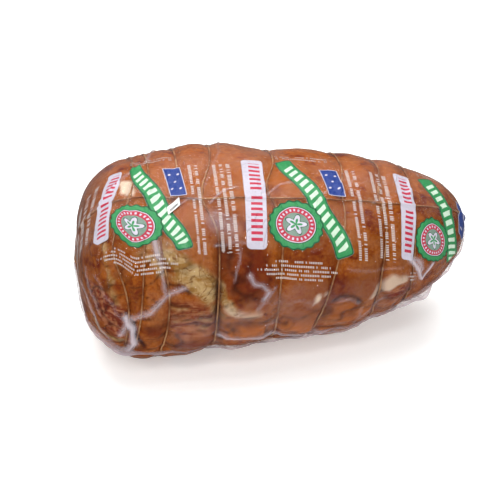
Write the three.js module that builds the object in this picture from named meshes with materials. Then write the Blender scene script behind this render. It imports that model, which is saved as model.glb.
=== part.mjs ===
// A whole boneless smoked leg ham, tied with butcher's twine and vacuum packed in a film pouch.
// Units are millimetres, +Z is up. The ham lies on its side along X, with the blunt leg end at -X
// and the shank end at +X. The origin is on the surface it rests on, under the middle of the pack.
import * as THREE from 'three';

// Ham: overall sizes.
const HAM_LENGTH = 393;
const HAM_WIDTH = 213;
const HAM_HEIGHT = 192;
const PRESSED_BASE = 4.5; // how far the ham's weight flattens its underside

// Ham: how its girth changes from the blunt end (0) to the shank end (1).
const BLUNT_SPAN = 0.19;
const BLUNT_POWER = 2.4;
const TAPER_START = 0.38;
const TAPER_DEPTH = 0.21;
const TAPER_POWER = 1.3;
const SHANK_START = 0.4;
const SHANK_POWER = 3.1;
const SHANK_RISE = 14; // how far the shank's middle lies above the thick end's
const RISE_START = 0.45;
const SQUARENESS = 2.2; // power of the section's oval, where 2 is a plain ellipse

// Where the ham swells, or draws in: the middle of the place along X and round the ham, how far it
// reaches each way, and how much it stands proud.
const SWELLS = [
  { x: -62, angle: 106, along: 44, round: 34, height: 8.5 },
  { x: -10, angle: -58, along: 74, round: 20, height: -11 },
  { x: -48, angle: -50, along: 44, round: 18, height: -7 },
];

// Twine: round butcher's twine that bites into the ham.
const TWINE_RADIUS = 0.95;
const TWINE_SIDES = 6;
const BITE_DEPTH = 4.6;
const BITE_HALF_WIDTH = 11;
const KNOT_RADIUS = 1.9;
const KNOT_ANGLE = 70; // slip knots sit just above the lengthwise twine
const KNOT_HALF_SPAN = 2.6;
const LENGTHWISE_ANGLE = 60; // 0 faces the front, 90 is the top

// The tied loops: where each crosses the front, how far it leans towards the shank at the top, and
// how far, at what angle and over what spread its hitch pulls it back towards the blunt end.
const LOOPS = [
  { front: -150, lean: 15, kink: -22, at: 40, spread: 26 },
  { front: -139, lean: 18, kink: -4, at: 40, spread: 26 },
  { front: -111, lean: 18, kink: -17, at: 42, spread: 26 },
  { front: -66, lean: 8, kink: -15, at: 68, spread: 18 },
  { front: -7, lean: 10, kink: -13, at: 70, spread: 15 },
  { front: 42, lean: 28, kink: -5, at: 68, spread: 16 },
  { front: 96, lean: 12, kink: -7, at: 65, spread: 18 },
  { front: 130, lean: 7, kink: -3, at: 65, spread: 18 },
];
const BLUNT_ROW = { front: -HAM_LENGTH / 2, lean: 0, kink: 0, at: 40, spread: 26 };
const SHANK_ROW = { front: HAM_LENGTH / 2, lean: 0, kink: 0, at: 65, spread: 18 };

// Pouch: two film panels sealed to each other round a narrow edge, with a longer ear at each corner.
const FILM_THICKNESS = 0.15;
const SEAM_ANGLE = -30;
const SEAM_WIDTH = 6;
const TIP_SEAM_WIDTH = 2.7; // the seal is narrower round the two ends
const TIP_SPAN = 30;
const EAR_WIDTH = 9;
const EAR_HALF_SPAN = 20;
const EAR_FRONTS = [-150, 138];
const RIDGE_HALF_WIDTH = 14; // how far the film tents out to each side of the lengthwise twine

// Price label on the front of the pouch.
const LABEL = { x: -102, angle: 60.5, length: 18, width: 11, thickness: 0.2, turn: -35 };

// Clearances and mesh steps.
const PIECE_GAP = 0.4;
const LABEL_GAP = 0.6;
const ANGLE_STEP = 10;
const NORMAL_STEP = 0.5; // how far apart the points are that a surface normal is measured from
const END_ROWS = [-0.992, -0.965, -0.92, -0.86, 0.75, 0.82, 0.88, 0.93, 0.965, 0.988]; // shares of half the length
const SHOULDERS_APART = 2.5; // rows get their own groove shoulders when this many half widths apart
const CLOSEST_ROWS = 3.5;

const FILM_LIFT = PIECE_GAP + FILM_THICKNESS / 2;
const TWINE_LIFT = PIECE_GAP + TWINE_RADIUS;
const TENT_HEIGHT = TWINE_LIFT + TWINE_RADIUS;
const FLOOR_LIFT = FILM_LIFT + FILM_THICKNESS / 2;
const HALF_LENGTH = HAM_LENGTH / 2;
const HALF_WIDTH = HAM_WIDTH / 2;
const HALF_HEIGHT = (HAM_HEIGHT + PRESSED_BASE) / 2;
const DEGREE = Math.PI / 180;

const clamp01 = (value) => Math.min(Math.max(value, 0), 1);

const smooth = (value) => {
  const t = clamp01(value);
  return t * t * (3 - 2 * t);
};

// Girth of the ham at x, as a share of its full width and height.
function girth(x) {
  const along = clamp01((x + HALF_LENGTH) / HAM_LENGTH);
  const fromBlunt = 1 - clamp01(along / BLUNT_SPAN);
  const blunt = Math.max(1 - fromBlunt ** BLUNT_POWER, 0) ** (1 / BLUNT_POWER);
  const taper = 1 - TAPER_DEPTH * clamp01((along - TAPER_START) / (1 - TAPER_START)) ** TAPER_POWER;
  const intoShank = clamp01((along - SHANK_START) / (1 - SHANK_START));
  return blunt * taper * Math.sqrt(Math.max(1 - intoShank ** SHANK_POWER, 0));
}

function middleHeight(x) {
  const along = clamp01((x + HALF_LENGTH) / HAM_LENGTH);
  return HALF_HEIGHT - PRESSED_BASE + SHANK_RISE * clamp01((along - RISE_START) / (1 - RISE_START)) ** 2;
}

// How far the twine, and the mesh rows that follow it, stray along X from where they cross the front.
function strayAt(front, angle) {
  const rows = [BLUNT_ROW, ...LOOPS, SHANK_ROW];
  const next = Math.max(rows.findIndex((row) => row.front >= front), 1);
  const [a, b] = [rows[next - 1], rows[next]];
  const share = (front - a.front) / (b.front - a.front);
  const [lean, kink, at, spread] = ['lean', 'kink', 'at', 'spread'].map((key) => {
    return THREE.MathUtils.lerp(a[key], b[key], share);
  });
  const fromKink = THREE.MathUtils.euclideanModulo(angle - at + 180, 360) - 180;
  return lean * Math.sin(angle * DEGREE) + kink * Math.exp(-((fromKink / spread) ** 2));
}

// How far the ham swells at a place, in millimetres.
function swellAt(x, angle) {
  return SWELLS.reduce((sum, swell) => {
    const round = THREE.MathUtils.euclideanModulo(angle - swell.angle + 180, 360) - 180;
    return sum + swell.height * Math.exp(-(((x - swell.x) / swell.along) ** 2) - (round / swell.round) ** 2);
  }, 0);
}

// Signed power, for the rounded-square section.
const squared = (value) => Math.sign(value) * Math.abs(value) ** (2 / SQUARENESS);

// The plain, untied shape of the ham: a point at a row's front position and an angle round it.
function formPoint(front, angle) {
  const x = front + strayAt(front, angle);
  const size = girth(x) * (1 + swellAt(x, angle) / HALF_WIDTH);
  const y = -HALF_WIDTH * size * squared(Math.cos(angle * DEGREE));
  const z = middleHeight(x) + HALF_HEIGHT * size * squared(Math.sin(angle * DEGREE));
  return new THREE.Vector3(x, y, Math.max(z, FLOOR_LIFT));
}

function formNormal(front, angle) {
  if (Math.abs(front) >= HALF_LENGTH) return new THREE.Vector3(Math.sign(front), 0, 0);
  const low = Math.max(front - NORMAL_STEP, -HALF_LENGTH);
  const high = Math.min(front + NORMAL_STEP, HALF_LENGTH);
  const along = formPoint(high, angle).sub(formPoint(low, angle));
  const round = formPoint(front, angle + NORMAL_STEP).sub(formPoint(front, angle - NORMAL_STEP));
  return along.cross(round).normalize();
}

// A point lifted off the plain shape by a number of millimetres, or sunk into it if negative.
function lifted(front, angle, lift) {
  return formPoint(front, angle).addScaledVector(formNormal(front, angle), lift);
}

// Depth of the groove that the loops press into the ham, at a row.
function biteDepth(front) {
  const nearest = Math.min(...LOOPS.map((loop) => Math.abs(front - loop.front)));
  return BITE_DEPTH * (1 - smooth(nearest / BITE_HALF_WIDTH));
}

// The film spans straight over the lengthwise twine, in a low tent on each side of it.
function tentLift(front, angle) {
  const radius = HALF_WIDTH * girth(front);
  const away = Math.abs(Math.sin((angle - LENGTHWISE_ANGLE) * DEGREE)) * radius;
  return TENT_HEIGHT * (1 - clamp01(away / RIDGE_HALF_WIDTH));
}

// Rows of the shared surface mesh: on each loop, at its groove's shoulders, between, and at the ends.
function surfaceRows() {
  const rows = END_ROWS.map((share) => share * HALF_LENGTH);
  const shoulder = BITE_HALF_WIDTH;
  LOOPS.forEach(({ front }, i) => {
    const next = i + 1 < LOOPS.length ? LOOPS[i + 1].front : HALF_LENGTH;
    rows.push(front);
    if (next - front > SHOULDERS_APART * shoulder) rows.push(front + shoulder, (front + next) / 2, next - shoulder);
    else rows.push((front + next) / 2);
  });
  const sorted = rows.filter((x) => Math.abs(x) < HALF_LENGTH - 1).sort((a, b) => a - b);
  return sorted.filter((x, i) => i === 0 || x - sorted[i - 1] > CLOSEST_ROWS);
}

const ROWS = surfaceRows();

function angles(from, to, step = ANGLE_STEP) {
  const count = Math.round((to - from) / step);
  return Array.from({ length: count + 1 }, (_, i) => from + ((to - from) * i) / count);
}

function bufferGeometry(points, triangles) {
  const geometry = new THREE.BufferGeometry();
  geometry.setAttribute('position', new THREE.Float32BufferAttribute(points.flatMap((p) => p.toArray()), 3));
  geometry.setIndex(triangles.flat());
  geometry.computeVertexNormals();
  return geometry;
}

// The ham itself: one solid, with a groove under every loop.
function hamGeometry() {
  const around = angles(0, 360).slice(0, -1);
  const points = [lifted(-HALF_LENGTH, 90, 0)];
  const triangles = [];
  ROWS.forEach((front) => around.forEach((angle) => points.push(lifted(front, angle, -biteDepth(front)))));
  points.push(lifted(HALF_LENGTH, 90, 0));
  const count = around.length;
  const at = (row, i) => 1 + row * count + (i % count);
  const last = points.length - 1;
  around.forEach((_, i) => {
    triangles.push([0, at(0, i), at(0, i + 1)]);
    for (let row = 0; row + 1 < ROWS.length; row += 1) {
      triangles.push([at(row, i), at(row + 1, i + 1), at(row, i + 1)]);
      triangles.push([at(row, i), at(row + 1, i), at(row + 1, i + 1)]);
    }
    triangles.push([last, at(ROWS.length - 1, i + 1), at(ROWS.length - 1, i)]);
  });
  return bufferGeometry(points, triangles);
}

// A closed twine: rings of points round each path point, in the plane across the path.
function twineGeometry(path) {
  const points = [];
  const triangles = [];
  const count = path.length;
  path.forEach(({ point, normal, radius }, i) => {
    const before = path[(i + count - 1) % count].point;
    const after = path[(i + 1) % count].point;
    const along = after.clone().sub(before).normalize();
    const side = along.clone().cross(normal).normalize();
    const out = side.clone().cross(along).normalize();
    for (let k = 0; k < TWINE_SIDES; k += 1) {
      const turn = (k / TWINE_SIDES) * 2 * Math.PI;
      const offset = side.clone().multiplyScalar(Math.cos(turn)).addScaledVector(out, Math.sin(turn));
      points.push(point.clone().addScaledVector(offset, radius));
    }
  });
  const at = (ring, k) => (ring % count) * TWINE_SIDES + (k % TWINE_SIDES);
  for (let ring = 0; ring < count; ring += 1) {
    for (let k = 0; k < TWINE_SIDES; k += 1) {
      triangles.push([at(ring, k), at(ring + 1, k + 1), at(ring, k + 1)]);
      triangles.push([at(ring, k), at(ring + 1, k), at(ring + 1, k + 1)]);
    }
  }
  return bufferGeometry(points, triangles);
}

// One tied loop, in its groove, swelling into its slip knot.
function loopGeometry({ front }) {
  const knot = [-1, -0.55, 0, 0.55, 1].map((t) => KNOT_ANGLE + t * KNOT_HALF_SPAN);
  const plain = angles(0, 360).slice(0, -1).filter((angle) => Math.abs(angle - KNOT_ANGLE) > KNOT_HALF_SPAN);
  const path = [...plain, ...knot].sort((a, b) => a - b).map((angle) => {
    const swell = Math.sqrt(Math.max(1 - ((angle - KNOT_ANGLE) / KNOT_HALF_SPAN) ** 2, 0));
    const radius = THREE.MathUtils.lerp(TWINE_RADIUS, KNOT_RADIUS, swell);
    const lift = PIECE_GAP + radius - BITE_DEPTH;
    return { point: lifted(front, angle, lift), normal: formNormal(front, angle), radius };
  });
  return twineGeometry(path);
}

// The lengthwise twine: one closed run over both ends, bridging every groove and every loop.
function lengthwiseGeometry() {
  const place = (front, angle) => ({
    point: lifted(front, angle, TWINE_LIFT),
    normal: formNormal(front, angle),
    radius: TWINE_RADIUS,
  });
  const over = ROWS.map((front) => place(front, LENGTHWISE_ANGLE));
  const under = [...ROWS].reverse().map((front) => place(front, LENGTHWISE_ANGLE + 180));
  const shankTip = place(HALF_LENGTH, LENGTHWISE_ANGLE);
  const bluntTip = place(-HALF_LENGTH, LENGTHWISE_ANGLE);
  return twineGeometry([...over, shankTip, ...under, bluntTip]);
}

// Gives an open sheet of triangles its thickness, so that it becomes one closed thin solid.
function thickSheet(points, triangles, thickness, floor = -Infinity) {
  const mid = bufferGeometry(points, triangles);
  const normals = mid.getAttribute('normal');
  const half = thickness / 2;
  const skin = (side) =>
    points.map((p, i) => {
      const moved = p.clone().addScaledVector(new THREE.Vector3().fromBufferAttribute(normals, i), side * half);
      moved.z = Math.max(moved.z, side > 0 ? floor : floor + thickness);
      return moved;
    });
  const count = points.length;
  const solid = [...triangles, ...triangles.map(([a, b, c]) => [a + count, c + count, b + count])];
  const edges = new Set(triangles.flatMap(([a, b, c]) => [`${a},${b}`, `${b},${c}`, `${c},${a}`]));
  edges.forEach((edge) => {
    const [a, b] = edge.split(',').map(Number);
    if (!edges.has(`${b},${a}`)) solid.push([b, a, a + count], [b, a + count, b + count]);
  });
  return bufferGeometry([...skin(1), ...skin(-1)], solid);
}

// Width of the sealed edge at a row: narrow along the sides, with an ear near each corner.
function sealWidth(front) {
  const nearest = Math.min(...EAR_FRONTS.map((ear) => Math.abs(front - ear)));
  const plain = THREE.MathUtils.lerp(TIP_SEAM_WIDTH, SEAM_WIDTH, smooth((HALF_LENGTH - Math.abs(front)) / TIP_SPAN));
  return plain + EAR_WIDTH * (1 - smooth(nearest / EAR_HALF_SPAN));
}

// The line where the two panels meet, all the way round: front side, shank tip, back side, blunt tip.
function seamLine() {
  const back = 180 - SEAM_ANGLE;
  const stops = [
    ...ROWS.map((front) => ({ front, angle: SEAM_ANGLE })),
    { front: HALF_LENGTH, angle: SEAM_ANGLE },
    ...[...ROWS].reverse().map((front) => ({ front, angle: back })),
    { front: -HALF_LENGTH, angle: SEAM_ANGLE },
  ];
  const line = stops.map(({ front, angle }) => lifted(front, angle, FILM_LIFT + tentLift(front, angle)));
  return stops.map(({ front }, i) => {
    const along = line[(i + 1) % line.length].clone().sub(line[(i + line.length - 1) % line.length]).normalize();
    const out = along.clone().cross(new THREE.Vector3(0, 0, 1)).normalize();
    return { point: line[i], out, up: out.clone().cross(along).normalize(), width: sealWidth(front) };
  });
}

// One film panel: the skin over the ham between two angles, and its half of the sealed edge.
function panelGeometry(fromAngle, toAngle, seamSide) {
  const around = angles(fromAngle, toAngle);
  const inner = around.slice(1, -1);
  const seam = seamLine();
  const apart = (seamSide * (PIECE_GAP + FILM_THICKNESS)) / 2;
  const points = seam.map(({ point, up }) => point.clone().addScaledVector(up, apart));
  const rim = points.length;
  seam.forEach(({ point, out, up, width }) => {
    points.push(point.clone().addScaledVector(out, width).addScaledVector(up, apart));
  });
  const skin = points.length;
  ROWS.forEach((front) => {
    inner.forEach((angle) => points.push(lifted(front, angle, FILM_LIFT + tentLift(front, angle))));
  });
  const count = ROWS.length;
  const frontEdge = (row) => row;
  const backEdge = (row) => 2 * count - row;
  const [shankTip, bluntTip] = [count, 2 * count + 1];
  const at = (row, i) => {
    if (i === 0) return seamSide > 0 ? frontEdge(row) : backEdge(row);
    if (i === around.length - 1) return seamSide > 0 ? backEdge(row) : frontEdge(row);
    return skin + row * inner.length + (i - 1);
  };
  const triangles = [];
  for (let i = 0; i + 1 < around.length; i += 1) {
    triangles.push([bluntTip, at(0, i), at(0, i + 1)]);
    for (let row = 0; row + 1 < count; row += 1) {
      triangles.push([at(row, i), at(row + 1, i + 1), at(row, i + 1)]);
      triangles.push([at(row, i), at(row + 1, i), at(row + 1, i + 1)]);
    }
    triangles.push([shankTip, at(count - 1, i + 1), at(count - 1, i)]);
  }
  for (let i = 0; i < rim; i += 1) {
    const [a, b] = [i, (i + 1) % rim];
    const strip = [[a, rim + a, rim + b], [a, rim + b, b]];
    strip.forEach((t) => triangles.push(seamSide > 0 ? t : [t[0], t[2], t[1]]));
  }
  return thickSheet(points, triangles, FILM_THICKNESS, seamSide < 0 ? 0 : -Infinity);
}

// The price label: a small sticker that follows the film under it.
function labelGeometry() {
  const [columns, lines] = [5, 4];
  const radius = HALF_WIDTH * girth(LABEL.x);
  const turn = LABEL.turn * DEGREE;
  const stray = strayAt(LABEL.x, LABEL.angle);
  const lift = FILM_LIFT + FILM_THICKNESS / 2 + LABEL_GAP + LABEL.thickness / 2;
  const points = [];
  const triangles = [];
  for (let j = 0; j <= lines; j += 1) {
    for (let i = 0; i <= columns; i += 1) {
      const u = (i / columns - 0.5) * LABEL.length;
      const v = (j / lines - 0.5) * LABEL.width;
      const front = LABEL.x - stray + u * Math.cos(turn) + v * Math.sin(turn);
      const angle = LABEL.angle + (v * Math.cos(turn) - u * Math.sin(turn)) / radius / DEGREE;
      points.push(lifted(front, angle, lift + tentLift(front, angle)));
      const a = j * (columns + 1) + i;
      if (i < columns && j < lines) {
        triangles.push([a, a + 1, a + columns + 2], [a, a + columns + 2, a + columns + 1]);
      }
    }
  }
  return thickSheet(points, triangles, LABEL.thickness);
}

const group = new THREE.Group();

function addPiece(name, geometry, color, roughness) {
  const mesh = new THREE.Mesh(geometry, new THREE.MeshStandardMaterial({ color, roughness, metalness: 0 }));
  mesh.name = name;
  group.add(mesh);
}

addPiece('ham', hamGeometry(), 0x9a5a2c, 0.45);
LOOPS.forEach((loop, i) => addPiece(`twine_loop_${i + 1}`, loopGeometry(loop), 0xc09a66, 0.85));
addPiece('twine_lengthwise', lengthwiseGeometry(), 0xc09a66, 0.85);
addPiece('film_upper_panel', panelGeometry(SEAM_ANGLE, 180 - SEAM_ANGLE, 1), 0xd8d2cc, 0.12);
addPiece('film_lower_panel', panelGeometry(180 - SEAM_ANGLE, 360 + SEAM_ANGLE, -1), 0xd8d2cc, 0.12);
addPiece('price_label', labelGeometry(), 0xf4f4f0, 0.6);

export default group;
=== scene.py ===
"""A whole smoked ham, tied with butcher's twine and vacuum packed in a printed film pouch."""
import logging
import math
from dataclasses import dataclass
from enum import Enum
from typing import Sequence, Union

import bpy
import numpy as np
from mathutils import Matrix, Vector


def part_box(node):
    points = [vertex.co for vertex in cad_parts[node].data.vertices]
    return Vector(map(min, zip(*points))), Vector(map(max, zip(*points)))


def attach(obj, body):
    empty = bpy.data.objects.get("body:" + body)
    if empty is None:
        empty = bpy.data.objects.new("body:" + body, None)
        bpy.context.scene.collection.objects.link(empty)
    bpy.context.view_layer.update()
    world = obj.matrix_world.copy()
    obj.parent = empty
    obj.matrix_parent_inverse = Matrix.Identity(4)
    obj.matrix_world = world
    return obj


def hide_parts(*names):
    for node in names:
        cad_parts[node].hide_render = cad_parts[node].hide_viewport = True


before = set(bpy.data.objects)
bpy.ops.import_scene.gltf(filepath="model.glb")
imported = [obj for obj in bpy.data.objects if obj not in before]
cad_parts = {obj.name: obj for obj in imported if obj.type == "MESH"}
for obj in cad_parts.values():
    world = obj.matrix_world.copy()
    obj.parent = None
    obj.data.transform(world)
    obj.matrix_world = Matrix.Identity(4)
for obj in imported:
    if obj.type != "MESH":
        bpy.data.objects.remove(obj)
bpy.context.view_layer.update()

LOG = logging.getLogger("smoked_ham")
MILLIMETRE = 0.001
UNROLL = 1.75  # millimetres of skin in a degree round the ham
FACE_ANGLE = 60.0  # degrees round the ham where its unrolled skin has its middle
TINY = 1e-9  # keeps a division away from nothing
FLAT_LAYER = "unrolled"

Array = np.ndarray
Colour = tuple[float, float, float]
Spot = tuple[float, float]


# ---------------------------------------------------------------- numbers and shapes

def srgb(red: int, green: int, blue: int) -> Colour:
    """Turns a colour that is given from 0 to 255 into the linear one that shaders use."""
    parts = (channel / 255 for channel in (red, green, blue))
    return tuple(p / 12.92 if p <= 0.04045 else ((p + 0.055) / 1.055) ** 2.4 for p in parts)


def smooth(value: Array) -> Array:
    """Eases a value from 0 to 1."""
    t = np.clip(value, 0.0, 1.0)
    return t * t * (3 - 2 * t)


def wrapped(angle: Array, middle: float = 0.0) -> Array:
    """Brings angles in degrees to within half a turn of a middle one."""
    return (angle - middle + 180.0) % 360.0 - 180.0 + middle


def unwound(angle: Array) -> Array:
    """Brings angles to within half a turn of the middle of the unrolled skin."""
    return wrapped(angle, FACE_ANGLE)


def band(value: Array, low: float, rise: float, high: Union[float, Array], fall: float) -> Array:
    """1 between two limits, eased in over a span above the low one and out below the high one."""
    return smooth((value - low) / rise) * smooth((high - value) / fall)


def ridge_at(value: Array, span: float) -> Array:
    """1 where a value is 0, fading away evenly on both sides over a span."""
    return np.exp(-((value / span) ** 2))


class LatticeNoise:
    """Smooth random lumps that are the same in every run."""

    CELLS = 32

    def __init__(self, seed: int) -> None:
        """Fills the lattice from a seed."""
        self.table = np.random.default_rng(seed).uniform(-1.0, 1.0, (self.CELLS,) * 3)

    def at(self, points: Array, size: float) -> Array:
        """Samples the lumps.

        Args:
            points: places in millimetres, with three numbers in the last axis.
            size: millimetres from lump to lump.

        Returns:
            A value from -1 to 1 for each place.
        """
        cell = points / size + 500.0
        low = np.floor(cell).astype(int)
        t = cell - low
        t = t * t * (3 - 2 * t)
        total = np.zeros(points.shape[:-1])
        for corner in range(8):
            step = np.array([corner & 1, (corner >> 1) & 1, (corner >> 2) & 1])
            weight = np.prod(np.where(step == 1, t, 1 - t), axis=-1)
            ix, iy, iz = np.moveaxis((low + step) % self.CELLS, -1, 0)
            total += weight * self.table[ix, iy, iz]
        return total


LUMPS = LatticeNoise(7)
CREASING = LatticeNoise(23)


def run_distance(s: Array, v: Array, points: Sequence[Spot]) -> Array:
    """Measures how far places on the unrolled skin are from a run of points.

    Args:
        s: millimetres along the ham.
        v: millimetres round the ham.
        points: the run, as millimetres along and degrees round.

    Returns:
        The distance of each place in millimetres.
    """
    best = np.full(np.shape(s), 1e9)
    for (s0, a0), (s1, a1) in zip(points, points[1:]):
        v0, v1 = a0 * UNROLL, a1 * UNROLL
        ds, dv = s1 - s0, v1 - v0
        share = np.clip(((s - s0) * ds + (v - v0) * dv) / max(ds * ds + dv * dv, TINY), 0, 1)
        best = np.minimum(best, np.hypot(s - s0 - share * ds, v - v0 - share * dv))
    return best


def patch_distance(s: Array, v: Array, corners: Sequence[Spot]) -> Array:
    """Measures how far places are outside a closed patch, or inside it if negative.

    Args:
        s: millimetres along the ham.
        v: millimetres round the ham.
        corners: the patch's outline, as millimetres along and degrees round.

    Returns:
        The signed distance of each place in millimetres.
    """
    ring = list(corners) + [corners[0]]
    inside = np.zeros(np.shape(s), bool)
    for (s0, a0), (s1, a1) in zip(ring, ring[1:]):
        v0, v1 = a0 * UNROLL, a1 * UNROLL
        if v0 != v1:
            crosses = (v0 > v) != (v1 > v)
            inside ^= crosses & (s < (s1 - s0) * (v - v0) / (v1 - v0) + s0)
    edge = run_distance(s, v, ring)
    return np.where(inside, -edge, edge)


# ---------------------------------------------------------------- the ham's own shape

@dataclass(frozen=True)
class Loop:
    """Where one tied loop runs and how it presses in.

    It crosses the front at front and leans by lean. Its hitch pulls it aside by kink at the angle
    at, over a spread in degrees. Its groove has a depth and a half width in millimetres.
    """

    front: float
    lean: float
    kink: float
    at: float
    spread: float
    depth: float = 4.6
    width: float = 11.0


LOOPS = (
    Loop(-150, 15, -22, 40, 26, 3.1, 8),
    Loop(-139, 18, -4, 40, 26, 2.6, 6),
    Loop(-111, 18, -17, 42, 26, 3.5, 10),
    Loop(-66, 8, -15, 68, 18, 4.6, 11),
    Loop(-7, 10, -13, 70, 15, 3.7, 10),
    Loop(42, 28, -5, 68, 16, 3.7, 10),
    Loop(96, 12, -7, 65, 18, 3.9, 11),
    Loop(130, 7, -3, 65, 18, 3.2, 9),
)


@dataclass(frozen=True)
class Swell:
    """A place where the ham swells, or draws in: its middle along and round, its reach and height."""

    x: float
    angle: float
    along: float
    round: float
    height: float

    def at(self, x: Array, angle: Array) -> Array:
        """How far it stands proud at each place."""
        turned = wrapped(angle - self.angle) / self.round
        return self.height * np.exp(-(((x - self.x) / self.along) ** 2) - turned ** 2)


SWELLS = (Swell(-62, 106, 44, 34, 8.5), Swell(-10, -58, 74, 20, -11), Swell(-48, -50, 44, 18, -7))


@dataclass(frozen=True)
class HamForm:
    """The plain, untied shape of the ham, in millimetres, as places along it and angles round it.

    Angle 0 faces the front, 90 is the top, and x runs from the blunt leg end to the shank end.
    """

    length: float
    width: float
    half_height: float
    pressed_base: float = 4.5
    blunt_span: float = 0.19
    blunt_power: float = 2.4
    taper_start: float = 0.38
    taper_depth: float = 0.21
    taper_power: float = 1.3
    shank_start: float = 0.4
    shank_power: float = 3.1
    shank_rise: float = 14.0
    rise_start: float = 0.45
    squareness: float = 2.2
    floor_lift: float = 0.55
    step: float = 0.5

    @classmethod
    def from_node(cls, node: str, height: float = 192.0) -> "HamForm":
        """Takes the overall sizes from the CAD ham, and its height before it swells."""
        low, high = (Vector(c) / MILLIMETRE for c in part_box(node))
        return cls(high.x - low.x, -2 * low.y, (height + cls.pressed_base) / 2)

    @property
    def tips(self) -> Array:
        """The row positions of the blunt tip and the shank tip."""
        return np.array([-self.length / 2, self.length / 2])

    def girth(self, x: Array) -> Array:
        """Finds how thick the ham is.

        Args:
            x: places along the ham in millimetres.

        Returns:
            The girth at each place as a share of the full one.
        """
        along = np.clip((x + self.length / 2) / self.length, 0, 1)
        from_blunt = 1 - np.clip(along / self.blunt_span, 0, 1)
        blunt = np.maximum(1 - from_blunt ** self.blunt_power, 0) ** (1 / self.blunt_power)
        into_taper = np.clip((along - self.taper_start) / (1 - self.taper_start), 0, 1)
        into_shank = np.clip((along - self.shank_start) / (1 - self.shank_start), 0, 1)
        shank = np.sqrt(np.maximum(1 - into_shank ** self.shank_power, 0))
        return blunt * (1 - self.taper_depth * into_taper ** self.taper_power) * shank

    def middle(self, x: Array) -> Array:
        """Finds how high the ham's middle lies.

        Args:
            x: places along the ham in millimetres.

        Returns:
            The middle's height over the floor at each place.
        """
        along = np.clip((x + self.length / 2) / self.length, 0, 1)
        rise = np.clip((along - self.rise_start) / (1 - self.rise_start), 0, 1)
        return self.half_height - self.pressed_base + self.shank_rise * rise ** 2

    def stray(self, front: Array, angle: Array) -> Array:
        """Finds how far rows stray along x, as the tied loops do.

        Args:
            front: where each row crosses the front, in millimetres.
            angle: angles round the ham in degrees.

        Returns:
            Millimetres along x at each place.
        """
        ends = (Loop(-self.length / 2, 0, 0, 40, 26), Loop(self.length / 2, 0, 0, 65, 18))
        rows = (ends[0], *LOOPS, ends[1])
        stops = [row.front for row in rows]
        lean, kink, at, spread = (
            np.interp(front, stops, [getattr(row, key) for row in rows])
            for key in ("lean", "kink", "at", "spread")
        )
        pull = kink * ridge_at(wrapped(angle - at), spread)
        return lean * np.sin(np.radians(angle)) + pull

    def point(self, front: Array, angle: Array) -> Array:
        """Finds places on the plain shape.

        Args:
            front: row positions in millimetres.
            angle: angles round the ham in degrees.

        Returns:
            The places in millimetres, with x, y and z in the last axis.
        """
        front, angle = np.broadcast_arrays(np.asarray(front, float), np.asarray(angle, float))
        x = front + self.stray(front, angle)
        swelling = sum(swell.at(x, angle) for swell in SWELLS)
        size = self.girth(x) * (1 + swelling / (self.width / 2))
        turn = np.radians(angle)
        y = -self.width / 2 * size * self.squared(np.cos(turn))
        z = self.middle(x) + self.half_height * size * self.squared(np.sin(turn))
        return np.stack([x, y, np.maximum(z, self.floor_lift)], axis=-1)

    def squared(self, part: Array) -> Array:
        """Bends a sine or cosine from a circle toward a rounded square."""
        return np.sign(part) * np.abs(part) ** (2 / self.squareness)

    def normal(self, front: Array, angle: Array) -> Array:
        """Finds outward directions on the plain shape.

        Args:
            front: row positions in millimetres.
            angle: angles round the ham in degrees.

        Returns:
            A direction one long for each place.
        """
        front, angle = np.broadcast_arrays(np.asarray(front, float), np.asarray(angle, float))
        half = self.length / 2
        low = np.maximum(front - self.step, -half)
        high = np.minimum(front + self.step, half)
        along = self.point(high, angle) - self.point(low, angle)
        turned = self.point(front, angle + self.step) - self.point(front, angle - self.step)
        out = np.cross(along, turned)
        size = np.linalg.norm(out, axis=-1, keepdims=True)
        tip = np.zeros_like(out)
        tip[..., 0] = np.sign(front)
        at_tip = (np.abs(front) >= half - 1e-6)[..., None] | (size < TINY)
        return np.where(at_tip, tip, out / np.maximum(size, TINY))

    def lifted(self, front: Array, angle: Array, lift: Array) -> Array:
        """Places lifted off the plain shape by some millimetres."""
        return self.point(front, angle) + self.normal(front, angle) * np.asarray(lift)[..., None]

    def from_top(self, front: Array, angle: Array, steps: int = 32) -> Array:
        """Measures the skin from the top line down the front.

        Args:
            front: row positions in millimetres.
            angle: angles round the ham in degrees.
            steps: how many straight steps the way is measured in.

        Returns:
            Millimetres of skin to each place, less than 0 behind the top line.
        """
        total = np.zeros(np.shape(angle))
        here = self.point(front, np.full(np.shape(angle), 90.0))
        for share in np.arange(1, steps + 1) / steps:
            there = self.point(front, 90.0 + (angle - 90.0) * share)
            total += np.linalg.norm((there - here)[..., 1:], axis=-1)
            here = there
        return total * np.sign(90.0 - angle)

    def rows(self, spacing: float, fine: Sequence[float] = ()) -> Array:
        """Places rows evenly over the skin, with more of them beside each loop.

        Args:
            spacing: millimetres of skin between rows.
            fine: offsets in millimetres from each loop that get a row too.

        Returns:
            The rows' front positions, without the two tips.
        """
        samples, clear, closest = 12001, 0.3, 0.28
        dense = np.linspace(*self.tips, samples)
        path = np.stack([dense, self.girth(dense) * self.width / 2], axis=-1)
        walked = np.concatenate([[0], np.cumsum(np.linalg.norm(np.diff(path, axis=0), axis=-1))])
        count = int(walked[-1] / spacing)
        even = np.interp(np.linspace(0, walked[-1], count + 1)[1:-1], walked, dense)
        near = [loop.front + side * off for loop in LOOPS for off in fine for side in (-1, 1)]
        reach = max(fine) if fine else 0.0
        kept = [x for x in even if all(abs(x - loop.front) > reach + clear for loop in LOOPS)]
        rows = np.unique(np.round(sorted(kept + near + [loop.front for loop in LOOPS]), 3))
        return rows[np.concatenate([[True], np.diff(rows) > closest])]


# ---------------------------------------------------------------- what shows on the ham's skin

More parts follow.
